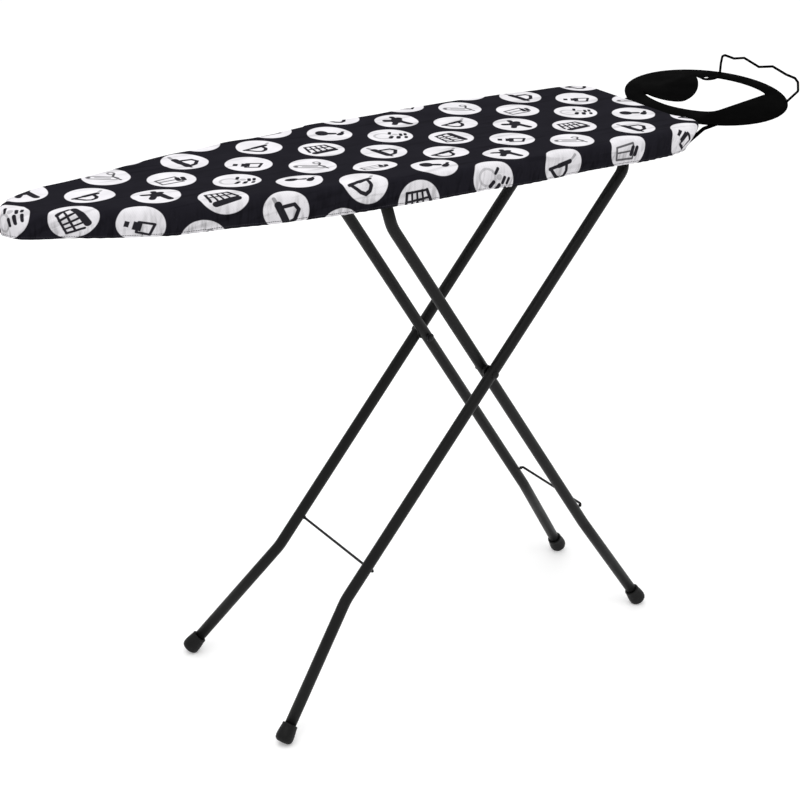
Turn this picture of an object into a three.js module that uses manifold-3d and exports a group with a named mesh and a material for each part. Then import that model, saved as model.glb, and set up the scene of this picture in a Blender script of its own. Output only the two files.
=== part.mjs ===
// Folding ironing board: a steel-topped board with a fabric cover on two crossed tube frames,
// a height rail with a sprung comb lever, and a plate rest for the iron at the tail.
// Millimetres, +Z up, +X from the nose to the tail, +Y to the left. The origin is on the floor,
// under the middle of the whole object.
import * as THREE from 'three';
import { mergeVertices } from 'three/addons/utils/BufferGeometryUtils.js';
import ManifoldModule from 'manifold-3d';

// ---- driving dimensions -------------------------------------------------------------------
const GAP = 0.3; // free space left between pieces that touch

const NOSE_X = -658.5; // tip of the board's nose
const BOARD_LENGTH = 1074;
const TAIL_X = NOSE_X + BOARD_LENGTH;
const BOARD_TOP = 857; // ironing surface above the floor
const SKIRT_HEIGHT = 40; // fabric hanging over the edge
const FABRIC = 1.2;
const SHOULDER = 5; // rounding of the cover's top edge
const PANEL_Z = 847; // underside of the steel panel
const PANEL_SHEET = 1.2;
const RIM_INSET = 2; // steel edge inside the fabric's outside
const RIM_DEPTH = 22;
const RIM_SHEET = 2;

const TUBE_R = 9; // leg tubes
const TUBE_BORE_R = 7.8;
const TUBE_SIDES = 14;
const WIRE_R = 2; // stretchers
const LEG_BEND_R = 70;

const PIVOT = { x: 67.8, z: 501.7 }; // crossing of the two frames
const OUTER_LEAN = THREE.MathUtils.degToRad(50.76); // angle of the outer frame with the floor
const OUTER_HALF = 102; // tube centre to the middle plane
const OUTER_FOOT_HALF = 156;
const OUTER_SPLAY_AT = 233.7; // bend of the lower leg, measured along the frame from the floor
const OUTER_CORNER_R = 45;
const OUTER_STRETCHER_AT = 293;
const HINGE_Z = 802; // axis of the outer frame's hinge under the board

const INNER_LEAN = THREE.MathUtils.degToRad(56.5);
const INNER_HALF_LOW = 82.6;
const INNER_HALF_TOP = 75;
const INNER_FOOT_HALF = 113.3;
const INNER_SPLAY_AT = 207.9;
const INNER_KNEE_Z = 758; // the inner legs turn steeper above this height
const INNER_STRETCHER_AT = 241.4;
const BAR = { x: -115.9, z: 804, r: 4 }; // sliding cross bar of the inner frame

const FERRULE_LENGTH = 30;
const FERRULE_SOCKET = 19; // depth of the leg in its ferrule
const FOOT_TRIM = 0.9; // worn flat under each ferrule

const RAIL = { x0: -446, x1: -92, half: 15, sheet: 2, bottom: 791 };
const RAIL_SLOT = { x0: -434, x1: -109.5, z0: 799.4, z1: 815.6 };
const LEVER_PIN = { x: -262, z: 795.2, r: 2 };

const REST = { x: 553.8, a: 105.7, b: 157.8, sheet: 2, tilt: Math.atan(0.145) };
const REST_Z = 828.25 + 0.145 * (REST.x - 419.5); // middle of the rest plate
const ROD_R = 3;
const ROD_Y = 98;
const ROD_Z = 812;
const CROSS = { x0: 346, x1: 372, half: 108, sheet: 2, bottom: 806 };
const GUARD_R = 1.1;

// ---- colours ------------------------------------------------------------------------------
const FINISH = {
  satin: { color: 0x232323, roughness: 0.42, metalness: 0.3 },
  plate: { color: 0x0a0a0a, roughness: 0.5, metalness: 0.3 },
  zinc: { color: 0xb9bcc0, roughness: 0.35, metalness: 1 },
  panel: { color: 0xd6d8da, roughness: 0.5, metalness: 0.4 },
  plastic: { color: 0x0d0d0d, roughness: 0.55, metalness: 0 },
  nylon: { color: 0xe6e4de, roughness: 0.5, metalness: 0 },
  felt: { color: 0xd9d6cc, roughness: 0.95, metalness: 0 },
  cover: { color: 0x29272d, roughness: 0.9, metalness: 0 },
  elastic: { color: 0xeeeeee, roughness: 0.9, metalness: 0 },
};

// ---- solids -------------------------------------------------------------------------------
const wasm = await ManifoldModule();
wasm.setup();

function toSolid(geometry) {
  const bare = geometry.clone();
  bare.deleteAttribute('normal');
  bare.deleteAttribute('uv');
  const merged = mergeVertices(bare, 1e-4);
  return new wasm.Manifold(new wasm.Mesh({
    numProp: 3,
    vertProperties: new Float32Array(merged.attributes.position.array),
    triVerts: new Uint32Array(merged.index.array),
  }));
}

function toGeometry(solid) {
  const { vertProperties, triVerts } = solid.getMesh();
  const geometry = new THREE.BufferGeometry();
  geometry.setAttribute('position', new THREE.BufferAttribute(vertProperties, 3));
  geometry.setIndex(new THREE.BufferAttribute(triVerts, 1));
  geometry.computeVertexNormals();
  return geometry;
}

const cut = (body, ...tools) => toGeometry(
  tools.reduce((solid, tool) => solid.subtract(toSolid(tool)), toSolid(body)));
const join = (body, ...others) => toGeometry(
  others.reduce((solid, other) => solid.add(toSolid(other)), toSolid(body)));
const common = (body, tool) => toGeometry(toSolid(body).intersect(toSolid(tool)));

const vec = (x, y, z) => new THREE.Vector3(x, y, z);
const asProfile = (list) => list.map(([x, y]) => new THREE.Vector2(x, y));

function boxBetween(x0, x1, y0, y1, z0, z1) {
  return new THREE.BoxGeometry(x1 - x0, y1 - y0, z1 - z0)
    .translate((x0 + x1) / 2, (y0 + y1) / 2, (z0 + z1) / 2);
}

// A flat outline raised from one height to another.
function slab(shape, z0, z1, curveSegments = 12) {
  return new THREE.ExtrudeGeometry(shape, { depth: z1 - z0, bevelEnabled: false, curveSegments })
    .translate(0, 0, z0);
}

// An outline drawn in X and Z, given a width along Y about the plane y = middle.
function profileAlongY(shape, width, middle = 0, curveSegments = 12) {
  return new THREE.ExtrudeGeometry(shape, { depth: width, bevelEnabled: false, curveSegments })
    .rotateX(Math.PI / 2)
    .translate(0, middle + width / 2, 0);
}

function rodAlongY(x, z, radius, y0, y1, sides = 16) {
  return new THREE.CylinderGeometry(radius, radius, y1 - y0, sides)
    .translate(x, (y0 + y1) / 2, z);
}

function polygonShape(radius, sides) {
  const points = Array.from({ length: sides }, (_, i) => {
    const angle = (2 * Math.PI * i) / sides;
    return new THREE.Vector2(radius * Math.cos(angle), radius * Math.sin(angle));
  });
  return new THREE.Shape(points);
}

// A path through fixed stations, so that a sweep gets a section exactly at each of them.
class StationPath extends THREE.Curve {
  constructor(stations) {
    super();
    this.stations = stations;
  }

  getPointAt(u, target = new THREE.Vector3()) {
    const place = u * (this.stations.length - 1);
    const index = Math.min(Math.floor(place), this.stations.length - 2);
    return target.lerpVectors(this.stations[index], this.stations[index + 1], place - index);
  }

  getPoint(t, target) {
    return this.getPointAt(t, target);
  }

  getTangentAt(u, target = new THREE.Vector3()) {
    const last = this.stations.length - 1;
    const index = Math.round(u * last);
    const here = this.stations[index];
    const before = this.stations[Math.max(index - 1, 0)];
    const after = this.stations[Math.min(index + 1, last)];
    const arriving = here.clone().sub(before).normalize();
    const leaving = after.clone().sub(here).normalize();
    return target.addVectors(arriving, leaving).normalize();
  }
}

// Straight runs between the corners, with each corner rounded to the bend radius.
function bentPath(corners, bendRadius, stepDegrees = 10) {
  const stations = [corners[0]];
  for (let i = 1; i < corners.length - 1; i += 1) {
    const arriving = corners[i].clone().sub(corners[i - 1]).normalize();
    const leaving = corners[i + 1].clone().sub(corners[i]).normalize();
    const turn = arriving.angleTo(leaving);
    const axis = arriving.clone().cross(leaving).normalize();
    const start = corners[i].clone().addScaledVector(arriving, -bendRadius * Math.tan(turn / 2));
    const toCentre = axis.clone().cross(arriving);
    const centre = start.clone().addScaledVector(toCentre, bendRadius);
    const steps = Math.max(2, Math.ceil(THREE.MathUtils.radToDeg(turn) / stepDegrees));
    for (let k = 0; k <= steps; k += 1) {
      const spoke = start.clone().sub(centre).applyAxisAngle(axis, (turn * k) / steps);
      stations.push(spoke.add(centre));
    }
  }
  stations.push(corners[corners.length - 1]);
  return new StationPath(stations);
}

function sweep(path, radius, sides, boreRadius = 0) {
  const section = polygonShape(radius, sides);
  if (boreRadius > 0) section.holes.push(polygonShape(boreRadius, sides));
  return new THREE.ExtrudeGeometry(section, {
    extrudePath: path,
    steps: path.stations.length - 1,
    bevelEnabled: false,
  });
}

// A turned piece whose axis starts at a point and runs along a direction.
function turned(profile, at, along, segments = 24) {
  const turn = new THREE.Quaternion().setFromUnitVectors(vec(0, 1, 0), along);
  return new THREE.LatheGeometry(asProfile(profile), segments)
    .applyQuaternion(turn)
    .translate(at.x, at.y, at.z);
}

// ---- scene graph --------------------------------------------------------------------------
const ironingBoard = new THREE.Group();
const materials = Object.fromEntries(Object.entries(FINISH).map(
  ([name, look]) => [name, new THREE.MeshStandardMaterial(look)]));

function addPiece(name, geometry, finish) {
  const mesh = new THREE.Mesh(geometry, materials[finish]);
  mesh.name = name;
  ironingBoard.add(mesh);
}

const SIDES = [['left', 1], ['right', -1]];

// ---- board outline ------------------------------------------------------------------------
// Half of the outline, from the nose tip to the middle of the tail: a round nose, a long taper,
// the widest stretch and a rounded tail corner. x is the distance from the nose tip.
function halfOutline() {
  const path = new THREE.Path();
  path.moveTo(0, 0);
  path.bezierCurveTo(0, 31, 30, 45, 84, 59);
  path.bezierCurveTo(284, 107, 550, 152, 800, 152);
  path.bezierCurveTo(880, 152, 960, 147, 1018, 139);
  path.bezierCurveTo(1052, 134, BOARD_LENGTH, 118, BOARD_LENGTH, 84);
  path.lineTo(BOARD_LENGTH, 0);
  return path.getPoints(11);
}

const halfEdge = halfOutline();
const boardEdge = [
  ...halfEdge,
  ...halfEdge.slice(1, -1).reverse().map((p) => new THREE.Vector2(p.x, -p.y)),
].map((p) => new THREE.Vector2(p.x + NOSE_X, p.y)).reverse();

// The outline moved inwards by a distance, each corner along the mean of its two edge normals.
function insetEdge(distance) {
  const count = boardEdge.length;
  return boardEdge.map((point, i) => {
    const before = boardEdge[(i + count - 1) % count];
    const after = boardEdge[(i + 1) % count];
    const a = point.clone().sub(before).normalize();
    const b = after.clone().sub(point).normalize();
    const inward = new THREE.Vector2(-(a.y + b.y), a.x + b.x).normalize();
    const stretch = Math.max(inward.dot(new THREE.Vector2(-a.y, a.x)), 0.5);
    return point.clone().addScaledVector(inward, distance / stretch);
  });
}

const edgeSlab = (inset, z0, z1) => slab(new THREE.Shape(insetEdge(inset)), z0, z1);

// ---- covered board ------------------------------------------------------------------------
function panelHoles() {
  const pitch = 62;
  const radius = 11;
  const spots = [];
  for (let row = -2; row <= 2; row += 1) {
    const offset = row % 2 === 0 ? 0 : pitch / 2;
    for (let x = NOSE_X + 60 + offset; x < TAIL_X - 40; x += pitch) {
      spots.push(new THREE.Vector2(x, row * pitch * 0.866));
    }
  }
  const safeEdge = insetEdge(30);
  return spots
    .filter((spot) => insideOutline(spot, safeEdge) && clearOfFixings(spot, radius + 8))
    .map((spot) => {
      const ring = polygonShape(radius, 6).getPoints();
      return new THREE.Path(ring.map((p) => p.clone().add(spot)));
    });
}

function insideOutline(spot, outline) {
  return outline.every((point, i) => {
    const next = outline[(i + 1) % outline.length];
    return (next.x - point.x) * (spot.y - point.y) - (next.y - point.y) * (spot.x - point.x) > 0;
  });
}

function clearOfFixings(spot, reach) {
  return fixings().every(({ x, y }) => Math.hypot(spot.x - x, spot.y - y) > reach);
}

// Rivets through the panel: four for the rail, four for the hinge straps, four for the channel.
function fixings() {
  const list = [];
  [RAIL.x0 + 14, RAIL.x0 + 125, RAIL.x1 - 125, RAIL.x1 - 14].forEach((x, i) => {
    list.push({ name: `rail_rivet_${i + 1}`, x, y: 0, sheet: RAIL.sheet });
  });
  let count = 0;
  SIDES.forEach(([, side]) => [-1, 1].forEach((end) => {
    count += 1;
    list.push({
      name: `strap_rivet_${count}`,
      x: hingeX + end * (STRAP.reach - 8),
      y: side * STRAP.y,
      sheet: STRAP.sheet,
    });
  }));
  [-90, -45, 45, 90].forEach((y, i) => {
    const x = (CROSS.x0 + CROSS.x1) / 2;
    list.push({ name: `channel_rivet_${i + 1}`, x, y, sheet: CROSS.sheet });
  });
  return list;
}

const outerAlong = vec(Math.cos(OUTER_LEAN), 0, Math.sin(OUTER_LEAN));
const innerAlong = vec(-Math.cos(INNER_LEAN), 0, Math.sin(INNER_LEAN));
const outerFloorX = PIVOT.x - PIVOT.z / Math.tan(OUTER_LEAN);
const innerFloorX = PIVOT.x + PIVOT.z / Math.tan(INNER_LEAN);
const hingeX = PIVOT.x + (HINGE_Z - PIVOT.z) / Math.tan(OUTER_LEAN);
const STRAP = { y: 32, width: 22, reach: 30, sheet: 2.4 };

const rivetHole = ({ x, y }) => new THREE.CylinderGeometry(2.6, 2.6, 12, 10)
  .rotateX(Math.PI / 2).translate(x, y, PANEL_Z);

function buildBoard() {
  const panelShape = new THREE.Shape(insetEdge(RIM_INSET));
  panelShape.holes.push(...panelHoles());
  const panelTop = PANEL_Z + PANEL_SHEET;
  addPiece('board_panel',
    cut(slab(panelShape, PANEL_Z, panelTop), ...fixings().map(rivetHole)), 'panel');

  fixings().forEach(({ name, x, y, sheet }) => {
    const low = PANEL_Z - GAP - sheet - GAP;
    const profile = [[0, -2.4], [3, -2], [4.6, -0.6], [4.6, 0], [2.2, 0],
      [2.2, panelTop - low], [0, panelTop - low]];
    addPiece(name, turned(profile, vec(x, y, low), vec(0, 0, 1), 12), 'zinc');
  });

  const rimTop = PANEL_Z - GAP;
  const rimLow = rimTop - RIM_DEPTH;
  const wall = cut(edgeSlab(RIM_INSET, rimLow, rimTop),
    edgeSlab(RIM_INSET + RIM_SHEET, rimLow + RIM_SHEET, rimTop + 1),
    edgeSlab(RIM_INSET + 10, rimLow - 1, rimTop));
  const noseEnd = NOSE_X + 96;
  const tailEnd = TAIL_X - 80;
  const cutBlock = (x0, x1, y0, y1) => boxBetween(x0, x1, y0, y1, rimLow - 5, rimTop + 5);
  const far = 700;
  addPiece('rim_nose', common(wall, cutBlock(-far, noseEnd - GAP, -far, far)), 'satin');
  addPiece('rim_tail', common(wall, cutBlock(tailEnd + GAP, far, -far, far)), 'satin');
  addPiece('rim_left', common(wall, cutBlock(noseEnd, tailEnd, 0, far)), 'satin');
  addPiece('rim_right', common(wall, cutBlock(noseEnd, tailEnd, -far, 0)), 'satin');

  const feltLow = panelTop + GAP;
  const feltTop = BOARD_TOP - FABRIC - GAP;
  addPiece('felt_pad', edgeSlab(SHOULDER + 1, feltLow, feltTop), 'felt');

  const skirtLow = BOARD_TOP - SKIRT_HEIGHT;
  const wallInset = RIM_INSET - 0.6;
  const hemWidth = 22;
  const hemLow = skirtLow + 5.5; // the elastic pulls the turned-in hem up inside the skirt
  const outside = new THREE.ExtrudeGeometry(new THREE.Shape(insetEdge(SHOULDER)), {
    depth: SKIRT_HEIGHT,
    bevelEnabled: true,
    bevelSize: SHOULDER,
    bevelThickness: SHOULDER,
    bevelSegments: 2,
  }).translate(0, 0, skirtLow - SHOULDER);
  const trimmed = common(outside, boxBetween(-far, far, -far, far, skirtLow, BOARD_TOP + 5));
  addPiece('fabric_cover', cut(trimmed,
    edgeSlab(wallInset, skirtLow - 1, hemLow),
    edgeSlab(wallInset, hemLow + FABRIC, BOARD_TOP - SHOULDER),
    edgeSlab(SHOULDER + 0.2, BOARD_TOP - SHOULDER - 1, BOARD_TOP - FABRIC),
    edgeSlab(hemWidth, hemLow - 1, hemLow + FABRIC + 1)), 'cover');

  const elasticLow = hemLow + FABRIC + GAP;
  addPiece('hem_elastic', cut(edgeSlab(hemWidth - 8, elasticLow, elasticLow + 1.4),
    edgeSlab(hemWidth - 1, elasticLow - 1, elasticLow + 3)), 'elastic');
}

// ---- fittings under the board -------------------------------------------------------------
function buildRail() {
  const { x0, x1, half, sheet, bottom } = RAIL;
  const top = PANEL_Z - GAP;
  const channel = boxBetween(x0, x1, -half, half, bottom, top);
  const hollow = boxBetween(x0 - 1, x1 + 1, sheet - half, half - sheet, bottom - 1, top - sheet);
  const slot = boxBetween(RAIL_SLOT.x0, RAIL_SLOT.x1, -half - 1, half + 1,
    RAIL_SLOT.z0, RAIL_SLOT.z1);
  const pinHole = rodAlongY(LEVER_PIN.x, LEVER_PIN.z, LEVER_PIN.r + GAP, -half - 1, half + 1);
  const holes = fixings().filter(({ name }) => name.startsWith('rail')).map(rivetHole);
  addPiece('height_rail', cut(channel, hollow, slot, pinHole, ...holes), 'satin');

  const pinHalf = half + GAP;
  const pin = [[0, -2], [4.2, -2], [4.2, 0], [LEVER_PIN.r, 0], [LEVER_PIN.r, 2 * pinHalf],
    [4.2, 2 * pinHalf], [4.2, 2 * pinHalf + 1.6], [0, 2 * pinHalf + 1.6]];
  addPiece('lever_pin',
    turned(pin, vec(LEVER_PIN.x, -pinHalf, LEVER_PIN.z), vec(0, 1, 0), 16), 'zinc');

  const turns = 4.5;
  const coilR = LEVER_PIN.r + 1.7;
  const coil = Array.from({ length: turns * 12 + 1 }, (_, i) => {
    const angle = (2 * Math.PI * i) / 12 - Math.PI / 2;
    return vec(LEVER_PIN.x + coilR * Math.cos(angle), 4 + 1.6 * (i / 12),
      LEVER_PIN.z + coilR * Math.sin(angle));
  });
  addPiece('lever_spring', sweep(new StationPath(coil), 0.65, 6), 'zinc');
}

// Comb lever: four teeth catch the slide bar from below, and the handle lifts to drop them.
function buildLever() {
  const shape = new THREE.Shape();
  const tailTip = BAR.x + 9;
  const notchZ = BAR.z - BAR.r - 0.6;
  const toothTop = notchZ + 3.2;
  const low = notchZ - 9;
  const pitch = 22;
  shape.moveTo(tailTip, low + 2);
  shape.lineTo(tailTip, notchZ);
  for (let i = 0; i < 4; i += 1) {
    const face = BAR.x - BAR.r - 1.2 - i * pitch;
    shape.lineTo(face, notchZ);
    shape.lineTo(face - 1.5, toothTop);
    shape.lineTo(face - 5, toothTop);
    shape.lineTo(face - 11, notchZ);
  }
  shape.lineTo(LEVER_PIN.x, LEVER_PIN.z + 5.2);
  shape.absarc(LEVER_PIN.x, LEVER_PIN.z, 5.2, Math.PI / 2, Math.PI * 0.8, false);
  shape.lineTo(LEVER_PIN.x - 52, LEVER_PIN.z - 4.6);
  shape.lineTo(LEVER_PIN.x - 80, LEVER_PIN.z - 6);
  shape.lineTo(LEVER_PIN.x - 80, LEVER_PIN.z - 12);
  shape.lineTo(LEVER_PIN.x - 50, LEVER_PIN.z - 11.5);
  shape.lineTo(LEVER_PIN.x - 4, LEVER_PIN.z - 5.2);
  shape.lineTo(LEVER_PIN.x + 30, low);
  const hole = rodAlongY(LEVER_PIN.x, LEVER_PIN.z, LEVER_PIN.r + GAP, -5, 5);
  addPiece('height_lever', cut(profileAlongY(shape, 4), hole), 'satin');

  const gripX = LEVER_PIN.x - 80;
  const sleeve = new THREE.CapsuleGeometry(6.5, 22, 4, 14).rotateZ(Math.PI / 2)
    .translate(gripX + 14, 0, LEVER_PIN.z - 8.6);
  const pocket = boxBetween(gripX - GAP, gripX + 60, -2.4, 2.4,
    LEVER_PIN.z - 12.4, LEVER_PIN.z - 4);
  addPiece('lever_grip', cut(sleeve, pocket), 'plastic');
}

// Hat-section straps that hold the outer frame's hinge tube against the panel.
function buildHingeStraps() {
  const top = PANEL_Z - GAP;
  const { sheet, reach, width, y } = STRAP;
  const inner = TUBE_R + 0.4;
  const outer = inner + sheet;
  const shape = new THREE.Shape();
  shape.moveTo(hingeX - reach, top);
  shape.lineTo(hingeX - reach, top - sheet);
  shape.lineTo(hingeX - outer, top - sheet);
  shape.lineTo(hingeX - outer, HINGE_Z);
  shape.absarc(hingeX, HINGE_Z, outer, Math.PI, 2 * Math.PI, false);
  shape.lineTo(hingeX + outer, top - sheet);
  shape.lineTo(hingeX + reach, top - sheet);
  shape.lineTo(hingeX + reach, top);
  shape.lineTo(hingeX + inner, top);
  shape.lineTo(hingeX + inner, HINGE_Z);
  shape.absarc(hingeX, HINGE_Z, inner, 2 * Math.PI, Math.PI, true);
  shape.lineTo(hingeX - inner, top);
  const holes = fixings().filter(({ name }) => name.startsWith('strap')).map(rivetHole);
  SIDES.forEach(([label, side]) => {
    addPiece(`hinge_strap_${label}`,
      cut(profileAlongY(shape, width, side * y, 10), ...holes), 'satin');
  });
}

// ---- iron rest ----------------------------------------------------------------------------
// Oval plate. Its window leaves a round lobe on the far side and a broad pad on the near side.
function restShape() {
  const shape = new THREE.Shape();
  shape.absellipse(0, 0, REST.a, REST.b, 0, 2 * Math.PI, false);
  const window = new THREE.Path();
  window.moveTo(-50, 95);
  window.bezierCurveTo(-66, 70, -70, 20, -64, -5);
  window.bezierCurveTo(-60, -28, -52, -48, -44, -58);
  window.quadraticCurveTo(-38, -65, -26, -66);
  window.lineTo(70, -69);
  window.bezierCurveTo(84, -40, 86, 10, 74, 50);
  window.bezierCurveTo(62, 48, 50, 56, 55, 70);
  window.lineTo(57, 86);
  window.bezierCurveTo(50, 68, 8, 16, -30, 11);
  window.bezierCurveTo(-46, 6, -62, 44, -50, 95);
  const eyelet = new THREE.Path(polygonShape(4.4, 12).getPoints()
    .map((p) => p.add(new THREE.Vector2(63, 66))));
  shape.holes.push(window, eyelet);
  return shape;
}

const onRest = (x, y, above = 0) => vec(x, y, REST_Z + (x - REST.x) * Math.tan(REST.tilt) + above);

function buildIronRest() {
  addPiece('rest_plate', slab(restShape(), -REST.sheet / 2, REST.sheet / 2, 8)
    .rotateY(-REST.tilt).translate(REST.x, 0, REST_Z), 'plate');

  const under = -REST.sheet / 2 - ROD_R - 1;
  SIDES.forEach(([label, side]) => {
    const y = side * ROD_Y;
    const path = bentPath([vec(CROSS.x0 - 12, y, ROD_Z), vec(434, y, ROD_Z),
      onRest(466, y, under), onRest(REST.x + 40, y, under)], 10, 15);
    addPiece(`rest_rod_${label}`, sweep(path, ROD_R, 10), 'satin');
  });

  const { x0, x1, half, sheet, bottom } = CROSS;
  const top = PANEL_Z - GAP;
  const rodHoles = SIDES.map(([, side]) => new THREE.CylinderGeometry(
    ROD_R + GAP, ROD_R + GAP, 60, 12).rotateZ(Math.PI / 2)
    .translate((x0 + x1) / 2, side * ROD_Y, ROD_Z));
  const holes = fixings().filter(({ name }) => name.startsWith('channel')).map(rivetHole);
  addPiece('rest_channel', cut(boxBetween(x0, x1, -half, half, bottom, top),
    boxBetween(x0 + sheet, x1 - sheet, -half - 1, half + 1, bottom - 1, top - sheet),
    ...rodHoles, ...holes), 'satin');

  const guardX = REST.x + 102.6;
  const fence = (y, above) => vec(guardX, y, onRest(guardX, y).z + above);
  const ends = [vec(651, 68, onRest(651, 68).z), onRest(623.4, -120.5)];
  const guard = bentPath([ends[0], fence(68, 25), fence(46, 24), fence(24, 32), fence(12, 32),
    fence(-12, 25), fence(-34, 25), fence(-44, 32), fence(-56, 31), fence(-78, 25),
    fence(-98, 23), fence(-106, 14), fence(-107, 2), ends[1]], 2.6, 30);
  addPiece('wire_guard', sweep(guard, GUARD_R, 8), 'plate');
}

// ---- leg frames ---------------------------------------------------------------------------
// Ferrule profile as radius and height above its lowest point on the axis.
const FERRULE = [[0, 0], [7, 0.7], [11, 2.4], [13.2, 5.4], [14, 10], [13.6, 19], [12.6, 26],
  [11.4, 29], [10.4, FERRULE_LENGTH]];

// How far up its axis a leaning ferrule starts, so that its rim cuts the floor by the trim.
function ferruleStart(axis) {
  const rise = axis.z;
  const lean = Math.sqrt(1 - rise * rise);
  const lowest = Math.min(...FERRULE.map(([r, h]) => h * rise - r * lean));
  return (-lowest - FOOT_TRIM) / rise;
}

function buildFoot(name, floorPoint, axis) {
  const socketR = TUBE_R + GAP;
  const floorOfSocket = FERRULE_LENGTH - FERRULE_SOCKET;
  const profile = [...FERRULE, [socketR, FERRULE_LENGTH], [socketR, floorOfSocket],
    [0, floorOfSocket]];
  const bottom = floorPoint.clone().addScaledVector(axis, ferruleStart(axis));
  const ferrule = turned(profile, bottom, axis);
  addPiece(name, common(ferrule, boxBetween(-700, 700, -300, 300, 0, 100)), 'plastic');
}

// End of the tube in its ferrule.
const tubeStart = (floorPoint, axis) => floorPoint.clone()
  .addScaledVector(axis, ferruleStart(axis) + FERRULE_LENGTH - FERRULE_SOCKET + GAP);

function buildOuterFrame() {
  const at = (distance, y) => vec(outerFloorX, y, 0).addScaledVector(outerAlong, distance);
  const hingeAt = HINGE_Z / Math.sin(OUTER_LEAN);
  const tubeEnd = 52;
  SIDES.forEach(([label, side]) => {
    const floorPoint = at(0, side * OUTER_FOOT_HALF);
    const splay = at(OUTER_SPLAY_AT, side * OUTER_HALF);
    const axis = splay.clone().sub(floorPoint).normalize();
    const lower = bentPath([tubeStart(floorPoint, axis), splay, at(600, side * OUTER_HALF)],
      LEG_BEND_R, 5);
    const upper = bentPath([at(600, side * OUTER_HALF), at(hingeAt, side * OUTER_HALF),
      at(hingeAt, side * tubeEnd)], OUTER_CORNER_R);
    const path = new StationPath([...lower.stations.slice(0, -1), ...upper.stations.slice(1)]);
    addPiece(`outer_leg_${label}`, cut(sweep(path, TUBE_R, TUBE_SIDES, TUBE_BORE_R),
      rodAlongY(PIVOT.x, PIVOT.z, 3.4, Math.min(0, side * 200), Math.max(0, side * 200))),
    'satin');
    buildFoot(`outer_foot_${label}`, floorPoint, axis);
  });

  const spigot = TUBE_BORE_R - 0.4;
  const flat = tubeEnd - GAP;
  const tube = [[6, -flat - 4], [spigot, -flat - 4], [spigot, -flat], [TUBE_R, -flat],
    [TUBE_R, flat], [spigot, flat], [spigot, flat + 4], [6, flat + 4], [6, -flat - 4]];
  addPiece('hinge_tube', turned(tube, vec(hingeX, 0, HINGE_Z), vec(0, 1, 0)), 'satin');

  const proud = TUBE_R + WIRE_R + GAP;
  const centre = at(OUTER_STRETCHER_AT, 0)
    .add(vec(outerAlong.z, 0, -outerAlong.x).multiplyScalar(proud));
  addPiece('outer_stretcher', rodAlongY(centre.x, centre.z, WIRE_R,
    -OUTER_HALF - 5, OUTER_HALF + 5, 10), 'satin');
}

function buildInnerFrame() {
  const at = (distance, y) => vec(innerFloorX, y, 0).addScaledVector(innerAlong, distance);
  const kneeAt = INNER_KNEE_Z / Math.sin(INNER_LEAN);
  const beyondBar = 7;
  SIDES.forEach(([label, side]) => {
    const floorPoint = at(0, side * INNER_FOOT_HALF);
    const splay = at(INNER_SPLAY_AT, side * INNER_HALF_LOW);
    const axis = splay.clone().sub(floorPoint).normalize();
    const knee = at(kneeAt, side * INNER_HALF_TOP);
    const bar = vec(BAR.x, side * INNER_HALF_TOP, BAR.z);
    const top = bar.clone().addScaledVector(bar.clone().sub(knee).normalize(), beyondBar);
    const middle = splay.clone().lerp(knee, 0.5);
    const lower = bentPath([tubeStart(floorPoint, axis), splay, middle], LEG_BEND_R, 5);
    const upper = bentPath([middle, knee, top], LEG_BEND_R, 6);
    const path = new StationPath([...lower.stations.slice(0, -1), ...upper.stations.slice(1)]);
    const y0 = Math.min(0, side * 200);
    addPiece(`inner_leg_${label}`, cut(sweep(path, TUBE_R, TUBE_SIDES, TUBE_BORE_R),
      rodAlongY(PIVOT.x, PIVOT.z, 3.4, y0, y0 + 200),
      rodAlongY(BAR.x, BAR.z, BAR.r + GAP, y0, y0 + 200)), 'satin');
    buildFoot(`inner_foot_${label}`, floorPoint, axis);

    const capAt = INNER_HALF_TOP + TUBE_R + GAP;
    const cap = [[BAR.r + 0.1, 0], [7, 0], [7, 2], [5.6, 3.4], [0, 3.8], [0, 2.4],
      [BAR.r + 0.1, 2.4], [BAR.r + 0.1, 0]];
    addPiece(`bar_cap_${label}`,
      turned(cap, vec(BAR.x, side * capAt, BAR.z), vec(0, side, 0), 14), 'zinc');
  });
  const barEnd = INNER_HALF_TOP + TUBE_R + GAP + 2;
  addPiece('slide_bar', rodAlongY(BAR.x, BAR.z, BAR.r, -barEnd, barEnd, 14), 'zinc');

  // Staple-shaped wire: its ends turn in to the legs' upper side.
  const away = vec(innerAlong.z, 0, -innerAlong.x);
  const splayShare = (INNER_STRETCHER_AT - INNER_SPLAY_AT) / (kneeAt - INNER_SPLAY_AT);
  const half = THREE.MathUtils.lerp(INNER_HALF_LOW, INNER_HALF_TOP, splayShare);
  const stapleAt = (y, proud) => at(INNER_STRETCHER_AT, y).addScaledVector(away, proud);
  const touch = TUBE_R + GAP + 0.2;
  const staple = bentPath([stapleAt(half, touch), stapleAt(half, touch + 5.5),
    stapleAt(-half, touch + 5.5), stapleAt(-half, touch)], 4, 20);
  addPiece('inner_stretcher', sweep(staple, WIRE_R, 10), 'satin');
}

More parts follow.
